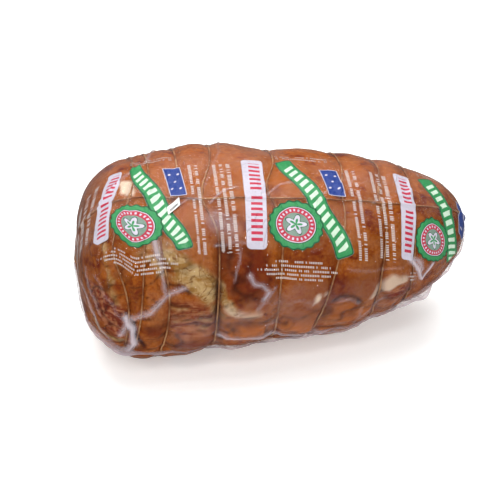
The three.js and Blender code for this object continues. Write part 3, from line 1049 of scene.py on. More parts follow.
@dataclass(frozen=True)
class Print:
    """The pouch's repeated print: plain badges, bands, ribbons, pennants and greeked lines.

    Places are in millimetres on the flat film, where each repeat starts at the badge's middle.
    """

    repeat: float = 147.0
    first: float = -49.0
    badge_v: float = 80.0
    band_v: float = 52.0
    green: Colour = srgb(52, 142, 84)
    dark_green: Colour = srgb(16, 84, 50)
    mint: Colour = srgb(206, 228, 206)
    red: Colour = srgb(186, 44, 70)
    lilac: Colour = srgb(206, 200, 214)
    sage: Colour = srgb(122, 146, 132)
    blue: Colour = srgb(38, 62, 136)
    cream: Colour = srgb(232, 218, 212)

    def box(self, sh: Shader, a: Value, b: Value, half: Spot, corner: float, edge: float = 0.4) -> Value:
        """Draws a box with round corners.

        Args:
            sh: the shader to write in.
            a: millimetres from the box's middle one way.
            b: millimetres from it the other way.
            half: half the box's size each way.
            corner: the corners' radius.
            edge: half the width over which the edge fades.

        Returns:
            1 inside the box.
        """
        qa = sh.math("MAXIMUM", abs(a) - (half[0] - corner), 0.0)
        qb = sh.math("MAXIMUM", abs(b) - (half[1] - corner), 0.0)
        away = sh.math("SQRT", qa * qa + qb * qb)
        return sh.step(away, corner - edge, corner + edge, 1.0, 0.0)

    def blocks(self, sh: Shader, along: Value, row: Plug, pitch: float, fill: float, chance: float) -> Value:
        """Draws blocks along a line, with some of them left out.

        Args:
            sh: the shader to write in.
            along: millimetres along the line.
            row: the line's number, which says which blocks are left out.
            pitch: millimetres from block to block.
            fill: the blocks' share of that.
            chance: the share of blocks that are left out.

        Returns:
            1 on the blocks.
        """
        cell = sh.math("FLOOR", along / pitch)
        inside = abs(along / pitch - cell - 0.5) < fill / 2
        seed = sh.add("CombineXYZ", {}, {0: cell, 1: row})
        pick = sh.add("TexWhiteNoise", {"noise_dimensions": "3D"}, {"Vector": seed})
        return inside * (pick > chance)

    def lines(self, sh: Shader, across: Value, along: Value, count: int, gap: float, half: Spot,
              shrink: float = 0.0) -> Value:
        """Draws greeked lines, which are rows of blocks.

        Args:
            sh: the shader to write in.
            across: millimetres from the middle line.
            along: millimetres along the lines from their middle.
            count: how many lines.
            gap: millimetres from line to line.
            half: millimetres from block to block, and half a line's length.
            shrink: how much shorter each line is than the one nearer the middle.

        Returns:
            1 on the ink.
        """
        start = across + (count - 1) * gap / 2
        row = sh.math("ROUND", start / gap)
        on_line = abs(start - row * gap) < gap * 0.24
        reach = abs(along) + abs(row - (count - 1) / 2) * shrink
        inside = (abs(across) < count * gap / 2) * (reach < half[1])
        return self.blocks(sh, along, row, half[0], 0.6, 0.2) * on_line * inside

    def write(self, sh: Shader) -> tuple[Value, Value]:
        """Writes the print.

        Args:
            sh: the shader to write in.

        Returns:
            The ink's colour and how much it covers.
        """
        place, v = sh.split(sh.flat_place())
        u = sh.math("WRAP", place, self.first + self.repeat, self.first)
        ink = Ink(sh, self.cream)
        self.lay_lines(ink, u, v)
        self.lay_band(ink, u, v)
        self.lay_ribbon(ink, u, v)
        self.lay_badge(ink, u, v)
        self.lay_pennant(ink, u, v)
        return ink.colour, ink.cover

    def lay_lines(self, ink: Ink, u: Value, v: Value) -> None:
        """Prints the greeked lines beside, below and above the badge.

        Args:
            ink: what is printed so far.
            u: millimetres along the film from the badge's middle.
            v: millimetres across the film.
        """
        for across, count, half in ((63.0, 2, (2.1, 52.0)), (90.0, 3, (1.8, 51.0))):
            ink.lay(self.lines(ink.sh, u - across, v - 58.0, count, 6.4, half), self.cream, 0.72)
        ink.lay(self.lines(ink.sh, v - 124.0, u - 1.0, 5, 4.1, (1.6, 36.0), 7.5), self.cream, 0.72)
        ink.lay(self.lines(ink.sh, v + 13.0, u - 18.0, 2, 4.6, (1.9, 26.0)), self.cream, 0.5)

    def lay_band(self, ink: Ink, u: Value, v: Value) -> None:
        """Prints the pale band with its red bars.

        Args:
            ink: what is printed so far.
            u: millimetres along the film from the badge's middle.
            v: millimetres across the film.
        """
        a, b = u + 34.3, v - self.band_v
        ink.lay(self.box(ink.sh, a, b, (8.3, 53.0), 4.0), self.lilac, 0.9)
        bars = self.blocks(ink.sh, b + 2.0, 3.0, 6.1, 0.5, 0.14) * (abs(a) < 4.6) * (abs(b) < 47.0)
        ink.lay(bars, self.red)

    def lay_ribbon(self, ink: Ink, u: Value, v: Value) -> None:
        """Prints the leaning, waved green ribbon with its pale strokes.

        Args:
            ink: what is printed so far.
            u: millimetres along the film from the badge's middle.
            v: millimetres across the film.
        """
        slant = (48.0 / 121.9, 112.0 / 121.9)
        from_u, from_v = u - 21.0, v - self.band_v
        along = from_u * slant[0] + from_v * slant[1]
        across = from_u * slant[1] - from_v * slant[0]
        wave = ink.sh.math("SINE", along / 9.0) * 1.3
        ink.lay(self.box(ink.sh, across + wave, along, (9.6, 61.0), 3.0), self.dark_green)
        ink.lay(self.box(ink.sh, across + wave, along, (8.2, 59.6), 2.4), self.green)
        strokes = self.blocks(ink.sh, along + across * 0.45, 5.0, 8.2, 0.56, 0.08)
        ink.lay(strokes * (abs(across + wave) < 5.6) * (abs(along) < 55.0), self.mint)

    def lay_badge(self, ink: Ink, u: Value, v: Value) -> None:
        """Prints the scalloped badge, from its rim to the five petals.

        Args:
            ink: what is printed so far.
            u: millimetres along the film from the badge's middle.
            v: millimetres across the film.
        """
        sh, dv = ink.sh, v - self.badge_v
        radius = sh.math("SQRT", u * u + dv * dv)
        turn = sh.math("ARCTAN2", dv, u)
        scallop = radius - sh.math("COSINE", turn * 18.0) * 0.7
        for size, tint in ((24.6, self.dark_green), (23.2, self.green)):
            ink.lay(scallop < size, tint)
        for size, tint in ((18.6, self.dark_green), (17.8, self.lilac), (17.0, self.red), (11.8, self.sage)):
            ink.lay(radius < size, tint)
        studs = (sh.math("COSINE", turn * 24.0) > 0.2) * (abs(radius - 14.4) < 1.2)
        ink.lay(studs, self.lilac)
        petals = radius - sh.math("COSINE", turn * 5.0) * 2.6
        for size, tint in ((8.2, self.dark_green), (7.2, self.lilac), (3.4, self.green)):
            ink.lay(petals < size, tint)

    def lay_pennant(self, ink: Ink, u: Value, v: Value) -> None:
        """Prints the blue pennant with its pale spots.

        Args:
            ink: what is printed so far.
            u: millimetres along the film from the badge's middle.
            v: millimetres across the film.
        """
        sh = ink.sh
        pu, pv = u - 43.0 - (v - 26.0) * 0.06, v - 26.0
        ink.lay(self.box(sh, pu, pv, (9.0, 20.0), 1.0), self.lilac)
        ink.lay(self.box(sh, pu, pv, (8.3, 19.3), 0.6), self.blue)
        across = sh.math("WRAP", pu + pv * 0.5, 4.5, -4.5)
        spots = self.box(sh, across, sh.math("WRAP", pv, 5.0, -5.0), (1.3, 1.3), 1.2)
        ink.lay(spots * self.box(sh, pu, pv, (7.2, 18.0), 0.6), self.lilac)


@dataclass(frozen=True)
class FilmFinish:
    """Clear, glossy pouch film with fine wrinkles and a whitish painted sheen in places, printed or plain.
    """

    name: str
    pattern: Union[Print, None] = None
    gloss_roughness: float = 0.06
    white: Colour = (1.0, 1.0, 1.0)
    clear: Colour = (0.97, 0.96, 0.95)
    # the whitish diffuse colour of the film's painted sheen and of its whitish sealed edge
    haze_and_sheen_white: Colour = srgb(220, 208, 216)

    def make(self) -> bpy.types.Material:
        """Writes the material.

        Returns:
            The new material.
        """
        made, sh = Shader.material(self.name)
        flat = sh.flat_place()
        fold = sh.noise(flat, 16.0, 4.0, 0.62, (1.0, 0.45, 1.0), 1.5)
        cross = sh.noise(flat, 7.0, 3.0, 0.6, (0.4, 1.0, 1.0), 1.0)
        crease = sh.noise(flat, 26.0, 2.0, 0.5, (1.0, 0.6, 1.0), 0.8)
        ridge = sh.step(abs(crease - 0.5), 0.0, 0.02, 1.0, 0.0)
        fine = sh.noise(flat, 3.4, 2.0, 0.6, warp=1.0)
        bumps = sh.bump(fold + cross * 0.55 + ridge * 0.26 + fine * 0.1, 2.2, 0.85)
        facing = sh.add("LayerWeight", {}, {"Blend": 0.22, "Normal": bumps}, "Fresnel")
        gloss = sh.add("BsdfGlossy", {}, {
            "Color": self.white, "Roughness": self.gloss_roughness, "Normal": bumps})
        clear = sh.add("BsdfTransparent", {}, {"Color": self.clear})
        plain = sh.add("MixShader", {}, {0: facing * 0.8 + 0.008, 1: clear, 2: gloss})
        # A whitish diffuse mixed in by the mesh's value: painted highlights along the folds, a painted
        # reflection of the floor low on the front, a painted sheen over the top, and the whitish sealed
        # edge.
        haze_and_sheen_white = sh.add("BsdfDiffuse", {}, {"Color": self.haze_and_sheen_white, "Normal": bumps})
        surface = sh.add("MixShader", {}, {0: sh.share("haze_and_sheen"), 1: plain, 2: haze_and_sheen_white})
        if self.pattern is not None:
            colour, cover = self.pattern.write(sh)
            rub = sh.noise(flat, 2.2, 2.0, 0.6)
            cover = cover * sh.share("printed") * sh.step(rub, 0.2, 0.42, 0.72, 1.0)
            ink = sh.add("BsdfPrincipled", {}, {
                "Base Color": colour, "Roughness": 0.3, "Normal": bumps, "Specular IOR Level": 0.5})
            surface = sh.add("MixShader", {}, {0: cover, 1: surface, 2: ink})
        sh.finish(surface)
        return made


@dataclass(frozen=True)
class StickerFinish:
    """A white paper sticker with a few black greeked marks."""

    paper: Colour = srgb(240, 240, 236)
    black: Colour = srgb(30, 28, 30)

    def make(self) -> bpy.types.Material:
        """Writes the material.

        Returns:
            The new material.
        """
        made, sh = Shader.material("label_paper")
        flat = sh.flat_place()
        u, v = sh.split(flat)
        figures = Print().blocks(sh, u, 1.0, 1.7, 0.7, 0.1) * (abs(v + 1.8) < 1.7) * (abs(u) < 6.0)
        small = Print().lines(sh, v - 2.6, u, 2, 2.2, (0.9, 6.4))
        grain = sh.noise(flat, 0.8, 2.0)
        colour = sh.mix(figures, sh.mix(small * 0.6, self.paper, self.black), self.black)
        surface = sh.add("BsdfPrincipled", {}, {
            "Base Color": colour, "Roughness": sh.step(grain, 0.3, 0.7, 0.45, 0.6),
            "Normal": sh.bump(grain, 0.08, 0.5)})
        sh.finish(surface)
        return made


# ---------------------------------------------------------------- the pieces

@dataclass
class Ham:
    """The ham itself, as one closed solid."""

    skin: Skin
    spacing: float = 1.55
    columns: int = 300
    fine: tuple[float, ...] = (0.9, 2.0, 3.4, 5.2)
    deepest: float = 4.6

    def build(self) -> bpy.types.Object:
        """Builds the ham's mesh with its tissues.

        Returns:
            The new object.
        """
        form = self.skin.form
        fronts = form.rows(self.spacing, self.fine)
        angles = np.linspace(-90, 270, self.columns, endpoint=False)
        front, angle = np.meshgrid(fronts, angles, indexing="ij")
        points = form.lifted(front, angle, self.skin.height(front, angle))
        points[..., 2] = np.maximum(points[..., 2], form.floor_lift)
        tips = form.point(form.tips, np.array([90.0, 90.0]))
        shares = {tissue.value: share for tissue, share in self.skin.covers(front, angle).items()}
        # The groove and crease values also darken the rind's colour, as painted shade.
        shares["groove"] = np.clip(self.skin.groove(front, angle) / self.deepest, 0, 1) ** 2
        shares["crease"] = self.skin.creases(front, angle)
        values = {key: np.append(share.ravel(), [0.0, 0.0]) for key, share in shares.items()}
        everything = np.concatenate([points.reshape(-1, 3), tips])
        return mesh_object("smoked_ham", everything, tipped_faces(*front.shape, True), shares=values)

    def dress(self, item: bpy.types.Object) -> None:
        """Gives the ham its rind."""
        place_piece(item, ["ham"], RindFinish().make())


@dataclass
class Twine:
    """Three-strand twine, laid along closed runs over the ham."""

    skin: Skin
    radius: float = 0.85
    sides: int = 10
    rings: int = 560
    lay: float = 5.5
    strands: int = 3
    valley: float = 0.88
    strand_bulge: float = 0.16
    slack: float = 0.1
    knot_angle: float = 70.0
    knot_span: float = 2.6
    knot_radius: float = 1.9
    knot_lift: float = 0.6
    turn: float = -0.047
    turn_start: float = 30.0
    turn_angle: float = 60.0
    arch: float = 26.0
    press: float = 0.25
    row_spacing: float = 1.1

    def tube(self, name: str, path: Array, normals: Array, sizes: Array) -> bpy.types.Object:
        """Builds a closed twisted tube.

        Args:
            name: the piece's name.
            path: the centre line's points in millimetres.
            normals: directions off the ham at those points.
            sizes: the tube's radius at those points.

        Returns:
            The new object.
        """
        along = np.roll(path, -1, axis=0) - np.roll(path, 1, axis=0)
        along /= np.linalg.norm(along, axis=1, keepdims=True)
        side = np.cross(along, normals)
        side /= np.maximum(np.linalg.norm(side, axis=1, keepdims=True), TINY)
        out = np.cross(side, along)
        walked = np.cumsum(np.linalg.norm(np.roll(path, -1, axis=0) - path, axis=1))
        turns = max(round(walked[-1] / self.lay / self.strands), 1) * self.strands
        twist = 2 * np.pi * turns * (walked / walked[-1])
        rim = np.arange(self.sides) / self.sides * 2 * np.pi
        strand = np.abs(np.cos(self.strands / 2 * rim[None, :] - twist[:, None] / 2))
        bulge = self.valley + self.strand_bulge * strand
        reach = (bulge * sizes[:, None])[..., None]
        ring = (side[:, None, :] * np.cos(rim)[None, :, None]
                + out[:, None, :] * np.sin(rim)[None, :, None])
        points = path[:, None, :] + ring * reach
        points[..., 2] = np.maximum(points[..., 2], self.skin.form.floor_lift)
        return mesh_object(name, points.reshape(-1, 3), grid_faces(len(path), self.sides, True, True))

    def loop_lift(self, loop: Loop, angle: Array) -> Array:
        """Height of a loop's centre line over the plain shape."""
        return smoothed_ring(self.skin.twine_lift(loop, angle), 4)

    def build_loop(self, number: int, loop: Loop) -> bpy.types.Object:
        """Builds one tied loop with its slip knot.

        Args:
            number: the loop's number from the blunt end.
            loop: where it runs.

        Returns:
            The new object.
        """
        angle = np.linspace(0, 360, self.rings, endpoint=False)
        off = np.abs(wrapped(angle - self.knot_angle)) / self.knot_span
        turns_of_twine = 0.8 + 0.2 * np.cos(off * 12)
        swell = np.sqrt(np.maximum(1 - off ** 2, 0)) * turns_of_twine
        sizes = self.radius + (self.knot_radius - self.radius) * swell
        lift = self.loop_lift(loop, angle) + (sizes - self.radius) * self.knot_lift
        front = np.full_like(angle, loop.front)
        path = self.skin.form.lifted(front, angle, lift)
        return self.tube(f"tied_loop_{number}", path, self.skin.form.normal(front, angle), sizes)

    def line_angle(self, front: Array) -> Array:
        """Angle at which the lengthwise twine runs over a row."""
        return self.turn_angle + self.turn * (front - self.turn_start)

    def line_lift(self, front: Array, angle: Array) -> Array:
        """Finds how the lengthwise twine rests on the skin and the loops.

        Args:
            front: row positions along the twine.
            angle: the twine's angle at each of them.

        Returns:
            The height of its centre line over the plain shape.
        """
        lift = self.skin.height(front, angle) + self.radius + self.slack
        for loop in LOOPS:
            crossing = np.full(1, float(np.interp(loop.front, front, angle)))
            here = self.skin.twine_lift(loop, crossing)[0]
            near = np.abs(front - loop.front)
            lift = np.maximum(lift, here + 2 * self.radius + self.slack - near ** 2 / self.arch)
        reach = 6
        padded = np.pad(lift, reach, mode="edge")
        kernel = np.hanning(2 * reach + 3)[1:-1]
        soft = np.convolve(padded, kernel / kernel.sum(), mode="valid")
        return np.maximum(soft, lift - self.press)

    def build_lengthwise(self) -> bpy.types.Object:
        """Builds the twine that runs once round the ham's length.

        Returns:
            The new object.
        """
        form = self.skin.form
        fronts = form.rows(self.row_spacing)
        upper = self.line_angle(fronts)
        lower = upper + 180.0
        blunt, shank = form.tips
        front = np.concatenate([fronts, [shank], fronts[::-1], [blunt]])
        angle = np.concatenate([upper, [self.turn_angle], lower[::-1], [self.turn_angle]])
        at_tip = [self.radius + 0.3]
        over, under = self.line_lift(fronts, upper), self.line_lift(fronts, lower)[::-1]
        path = form.lifted(front, angle, np.concatenate([over, at_tip, under, at_tip]))
        path[:, 2] = np.maximum(path[:, 2], form.floor_lift + self.radius)
        sizes = np.full(len(path), self.radius)
        return self.tube("lengthwise_twine", path, form.normal(front, angle), sizes)

    def dress(self, items: Sequence[bpy.types.Object]) -> None:
        """Gives every run its twine finish, in place of its CAD node.

        Args:
            items: the tied loops in order, then the lengthwise twine.
        """
        finish = TwineFinish().make()
        for number, item in enumerate(items, 1):
            node = f"twine_loop_{number}" if number <= len(LOOPS) else "twine_lengthwise"
            place_piece(item, [node], finish)


@dataclass(frozen=True)
class Fold:
    """A pinched fold in the film: a run, its height and half width in millimetres, and the strength of the
    painted highlight along it.
    """

    spots: tuple[Spot, ...]
    height: float
    half_width: float = 1.6
    haze_and_sheen: float = 0.0


FOLDS = (
    Fold(((-97, 13), (-114, 9), (-131, 0), (-151, -4), (-161, -18)), 2.2, 1.8, 0.35),
    Fold(((-121, 42), (-119, 32)), 1.4, 2.2, 0.5),
    Fold(((-119, 34), (-117, 20), (-115, 10)), 1.2, 1.1, 0.3),
    Fold(((-27, 1), (-2, 0), (25, -1)), 0.9, 0.8, 0.12),
    Fold(((67, -32), (75, -14)), 1.6, 1.4, 0.15),
    Fold(((52, -4), (63, -5), (72, -11)), 1.2, 1.1, 0.2),
    Fold(((-65, -19), (-40, -20), (-22, -20), (30, -32), (84, -48)), 2.0, 2.4, 0.4),
    Fold(((124, 13), (133, 1), (140, -11)), 1.8, 1.2, 0.8),
    Fold(((152, -1), (146, -6), (140, -11)), 1.6, 1.3, 0.7),
    Fold(((128, 9), (134, 6), (139, -2)), 1.0, 2.0, 0.4),
    Fold(((-68, -17), (-59, -16)), 1.8, 1.2, 0.2),
    Fold(((-19, -12), (-9, -12)), 1.6, 1.2, 0.2),
    Fold(((-155, -4), (-149, -12), (-147, -23), (-156, -36)), 1.8, 2.2, 0.7),
    Fold(((-35, 17), (-31, 12), (-23, 11), (-18, 6), (-24, 2)), 1.3, 1.5, 0.4),
    Fold(((-12, 8), (-20, 2), (-30, -2)), 0.8, 1.2, 0.2),
    Fold(((-66, 36), (-48, 37), (-30, 36)), 0.7, 0.8, 0.25),
    Fold(((-180, 20), (-170, 6), (-160, -4)), 1.0, 1.0, 0.1),
    Fold(((60, 14), (86, 8), (118, 6)), 0.8, 1.1, 0.1),
    Fold(((107, -34), (112, -22)), 1.2, 1.3, 0.15),
    # no raised fold here, only a broad painted glare on the film
    Fold(((-66, 52), (-50, 44)), 0.0, 7.0, 0.2),
    Fold(((-66, 62), (-54, 68), (-40, 70)), 0.8, 0.8, 0.3),
    Fold(((-64, 56), (-52, 52), (-44, 46)), 0.8, 0.8, 0.3),
    Fold(((-12, 64), (0, 70), (14, 72)), 0.7, 0.8, 0.25),
    Fold(((36, 62), (48, 66), (58, 66)), 0.7, 0.8, 0.25),
    Fold(((90, 56), (100, 60), (112, 62)), 0.7, 0.8, 0.25),
    Fold(((-100, 60), (-88, 64), (-78, 64)), 0.6, 0.8, 0.25),
    Fold(((-50, 14), (-45, 24), (-43, 34)), 0.6, 0.8, 0.2),
    Fold(((66, -28), (82, -20), (100, -14)), 1.0, 1.0, 0.25),
    Fold(((-192, 6), (-180, -16), (-168, -30)), 1.0, 1.2, 0.3),
    Fold(((-188, 26), (-186, 10), (-176, -8)), 0.8, 0.8, 0.15),
    Fold(((-176, 70), (-150, 84), (-120, 96), (-112, 120)), 1.6, 1.4, 0.2),
    Fold(((-70, 72), (-50, 96), (-46, 120)), 1.2, 1.2, 0.12),
)


# Each row of knots lies some millimetres below the top line, and pairs places along the ham with
# places along the flat film, so that the print leans as the film is drawn askew.
PRINT_KNOTS = (
    (0.0, (-196, -151, -135, -107, -90, -79, -58, -45, -19, 9, 46, 64, 75, 96, 108, 128, 152, 186),
     (-70, -36, -3, 34, 52, 63, 84, 97, 111, 144, 181, 199, 210, 231, 243, 258, 291, 328)),
    (55.0, (-196, -169, -142, -115, -90, -79, -58, -45, -23, 12, 35, 75, 96, 108, 128, 155, 176, 194),
     (-60, -36, 0, 21, 50, 63, 84, 97, 111, 147, 168, 210, 231, 243, 258, 294, 320, 345)),
    (105.0, (-196, -180, -140, -92, -79, -58, -45, -29, 12, 59, 75, 96, 108, 120, 150, 173, 190),
     (-52, -36, 2, 45, 63, 84, 97, 111, 147, 192, 210, 231, 243, 258, 298, 339, 350)),
)
# Along the ham, how far the print is shifted down the front and how much it is stretched that way.
PRINT_PLACES = (-190, -182, -175, -160, -142, -110, -60, 12, 100, 128, 152, 190)
PRINT_SHIFT = (7.4, 7.4, 7.4, 6.0, 1.0, 0.0, -2.0, -2.0, -4.0, -7.0, -1.0, -3.0)
PRINT_STRETCH = (2.05, 1.5, 1.27, 1.2, 1.06, 1.0, 1.0, 1.0, 1.03, 1.1, 1.12, 1.12)


@dataclass
class Pouch:
    """The two film panels, drawn tight over the ham and its twine and sealed round a narrow edge."""

    skin: Skin
    twine: Twine
    seam_angle: float = -30.0
    seam_dip: float = -1.5
    seam_gap: float = 0.4
    seam_floor: float = 0.6
    seal_width: float = 6.0
    tip_width: float = 2.7
    tip_span: float = 30.0
    ear_width: float = 9.0
    ear_span: float = 20.0
    ears: tuple[float, ...] = (-150.0, 138.0)
    gap: float = 0.35
    pull: float = 0.05
    rounds: int = 260
    spacing: float = 1.75
    fine: tuple[float, ...] = (0.55, 1.1, 1.8, 2.8, 4.2)
    rim_rows: int = 7
    coarse_column: float = 1.15
    fine_column: float = 0.5
    fine_reach: float = 11.0
    half_film: float = 0.16
    lowest: float = 0.12
    # strength of the painted floor reflection low on the front and of the painted sheen over the top
    haze_and_sheen: float = 0.035
    rim_haze: Spot = (0.14, 0.28)
    rim_wave: tuple[Spot, ...] = ((2.6, 17.0), (1.2, 6.0))
    printed: tuple[float, ...] = (-22, 8, 112, 6)

    def columns(self, start: float, end: float) -> Array:
        """Lays out a panel's columns, closer where the lengthwise twine runs.

        Args:
            start: the angle of the first column in degrees.
            end: the angle of the last one.

        Returns:
            The columns' angles.
        """
        middle = self.twine.turn_angle if start < 90 < end else self.twine.turn_angle + 180
        angles = [start]
        while angles[-1] < end - self.coarse_column * 0.7:
            near = abs(angles[-1] - middle) < self.fine_reach
            angles.append(angles[-1] + (self.fine_column if near else self.coarse_column))
        angles[-1] = end
        return np.array(angles)

    def obstacle(self, front: Array, angle: Array) -> Array:
        """Finds the lowest the film can lie, on the skin, the loops and the lengthwise twine.

        Args:
            front: row position of each place, by row.
            angle: angle of each place, the same in every row.

        Returns:
            The lowest height over the plain shape at each place.
        """
        low = self.skin.height(front, angle)
        radius = self.twine.radius + self.twine.slack
        around = angle[0]
        knot = 1 - smooth((np.abs(wrapped(around - self.twine.knot_angle)) - 2.8) / 1.6)
        growth = (self.twine.knot_radius - self.twine.radius) * knot
        for loop in LOOPS:
            centre = (self.twine.loop_lift(loop, around) + self.twine.knot_lift * growth)[None, :]
            low = self.draped(low, centre, np.abs(front - loop.front), (radius + growth)[None, :])
        girth = self.skin.form.girth(front) * self.skin.form.width / 2
        for side in (0.0, 180.0):
            run = self.twine.line_angle(front[:, 0]) + side
            centre = self.twine.line_lift(front[:, 0], run)[:, None]
            off = np.abs(np.radians(wrapped(angle - run[:, None]))) * girth
            low = self.draped(low, centre, off, radius)
        return low + self.gap

    @staticmethod
    def draped(low: Array, centre: Array, off: Array, reach: Union[float, Array]) -> Array:
        """Raises heights where a round run of twine, at a distance to the side, stands over them."""
        top = centre + np.sqrt(np.maximum(reach ** 2 - off ** 2, 0))
        return np.where(off < reach, np.maximum(low, top), low)

    def drawn(self, front: Array, angle: Array, low: Array) -> Array:
        """Draws the film tight over what is under it.

        Args:
            front: row position of each place.
            angle: angle of each place.
            low: the lowest height that the film can have at each place.

        Returns:
            The film's height over the plain shape.
        """
        points = self.skin.form.point(front, angle)
        rows = np.linalg.norm(np.diff(points, axis=0), axis=-1) + 1e-3
        columns = np.linalg.norm(np.diff(points, axis=1), axis=-1) + 1e-3
        d1, d2 = rows[:-1, 1:-1], rows[1:, 1:-1]
        e1, e2 = columns[1:-1, :-1], columns[1:-1, 1:]
        by_row, by_column = 1 / (d1 * d2), 1 / (e1 * e2)
        lift = low.copy()
        for _ in range(self.rounds):
            inner_row = (lift[:-2, 1:-1] * d2 + lift[2:, 1:-1] * d1) / (d1 + d2)
            inner_column = (lift[1:-1, :-2] * e2 + lift[1:-1, 2:] * e1) / (e1 + e2)
            drawn = (by_row * inner_row + by_column * inner_column - self.pull) / (by_row + by_column)
            lift[1:-1, 1:-1] = np.maximum(low[1:-1, 1:-1], drawn)
        return lift

    def folded(self, front: Array, angle: Array) -> tuple[Array, Array]:
        """Finds what the film's pinched folds add, with the film's painted sheen: highlights along the
        folds, the floor's reflection low on the front and a sheen over the top.

        Args:
            front: row position of each place.
            angle: angle of each place.

        Returns:
            The added height in millimetres and the strength of the painted sheen from 0 to 1.
        """
        s, v = self.skin.unrolled(front, angle)
        place = self.skin.form.point(front, angle)
        waver = CREASING.at(place, 11.0)
        height, haze_and_sheen = np.zeros(front.shape), np.zeros(front.shape)
        for fold in FOLDS:
            away = run_distance(s + 2.0 * waver, v + 2.0 * waver, fold.spots)
            height = np.maximum(height, fold.height * ridge_at(away, fold.half_width))
            haze_and_sheen = np.maximum(haze_and_sheen, fold.haze_and_sheen * ridge_at(away, fold.half_width * 1.4))
        turned = v / UNROLL
        # painted reflection of the floor, low on the front
        level = np.interp(s, (-112, -60, 12, 60, 128), (0, 2, 12, 8, 3))
        low_front = band(turned, -75, 20, level, 6) * smooth((s + 116) / 12)
        haze_and_sheen = np.maximum(haze_and_sheen, low_front * (self.haze_and_sheen + self.haze_and_sheen * waver))
        # painted sheen over the top
        upper = smooth((turned - 30) / 24)
        haze_and_sheen = np.maximum(haze_and_sheen, upper * (self.haze_and_sheen + self.haze_and_sheen * CREASING.at(place, 26.0)))
        return height, np.maximum(haze_and_sheen, 0)

    def flat_places(self, front: Array, angle: Array) -> Array:
        """Finds where each place lies on the flat, printed film.

        The film is drawn askew over the ham, so its print runs along leaning rows.

        Args:
            front: row position of each place.
            angle: angle of each place.

        Returns:
            Millimetres along and across the flat film.
        """
        x = front + self.skin.form.stray(front, angle)
        w = self.skin.form.from_top(front, unwound(angle))
        across = [np.interp(x, places, flats) for _, places, flats in PRINT_KNOTS]
        levels = [level for level, _, _ in PRINT_KNOTS]
        share = np.clip((w - levels[0]) / (levels[1] - levels[0]), 0, 1)
        further = np.clip((w - levels[1]) / (levels[2] - levels[1]), 0, 1)
        u = across[0] * (1 - share) + across[1] * (share - further) + across[2] * further
        shift = np.interp(x, PRINT_PLACES, PRINT_SHIFT)
        stretch = np.interp(x, PRINT_PLACES, PRINT_STRETCH)
        sag = 9.0 * ridge_at(x + 110, 26) * smooth((w - 86) / 14)
        return np.stack([u, w * stretch + shift + sag], axis=-1)

    def rim(self, upper: bool, fronts: Array) -> tuple[Array, Array, Array]:
        """Lays out a panel's sealed edge.

        Args:
            upper: whether it is the upper panel's.
            fronts: the panel's rows.

        Returns:
            The edge's points, by stop and by row outward, with its haze and its flat places.
        """
        blunt, shank = self.skin.form.tips
        front = np.concatenate([fronts, [shank], fronts[::-1], [blunt]])
        angle = np.full(len(front), self.seam_angle)
        angle[len(fronts) + 1:-1] = 180.0 - self.seam_angle
        line = self.edge_line(front, angle)
        along = np.roll(line, -1, axis=0) - np.roll(line, 1, axis=0)
        for _ in range(6):
            along = (np.roll(along, 1, axis=0) + 2 * along + np.roll(along, -1, axis=0)) / 4
        along /= np.linalg.norm(along, axis=1, keepdims=True)
        out = np.cross(along, (0.0, 0.0, 1.0))
        out /= np.linalg.norm(out, axis=1, keepdims=True)
        rise = np.cross(out, along)
        nearest = np.min([np.abs(front - ear) for ear in self.ears], axis=0)
        width = self.seal_width + self.ear_width * (1 - smooth(nearest / self.ear_span))
        width = width * (0.86 + 0.14 * CREASING.at(line, 13.0))
        at_tip = 1 - smooth((shank - np.abs(front)) / self.tip_span)
        width = width - (self.seal_width - self.tip_width) * at_tip
        share = np.linspace(0, 1, self.rim_rows)[None, :, None]
        wave = sum(tall * CREASING.at(line, size) for tall, size in self.rim_wave)[:, None, None]
        side = self.half_film if upper else -self.half_film
        points = (line[:, None, :] + out[:, None, :] * width[:, None, None] * share
                  + rise[:, None, :] * (wave * share ** 1.5 + side * np.minimum(share * 4, 1)))
        points[..., 2] = np.maximum(points[..., 2], 0.5 if upper else self.lowest)
        haze_and_sheen = np.broadcast_to(self.rim_haze[0] + self.rim_haze[1] * share[..., 0], points.shape[:2])
        flat = self.flat_places(front, angle)[:, None, :] + np.stack(
            [np.zeros_like(share[..., 0]), share[..., 0] * self.seal_width], axis=-1)
        return points, haze_and_sheen, flat

    def edge_line(self, front: Array, angle: Array) -> Array:
        """Finds the line where the two panels meet.

        Args:
            front: row positions along it.
            angle: its angle at each of them.

        Returns:
            Its points in millimetres.
        """
        lift = np.maximum(self.skin.height(front, angle), self.seam_dip) + self.gap + self.seam_gap
        line = self.skin.form.lifted(front, angle, lift)
        line[:, 2] = np.maximum(line[:, 2], self.seam_floor)
        return line

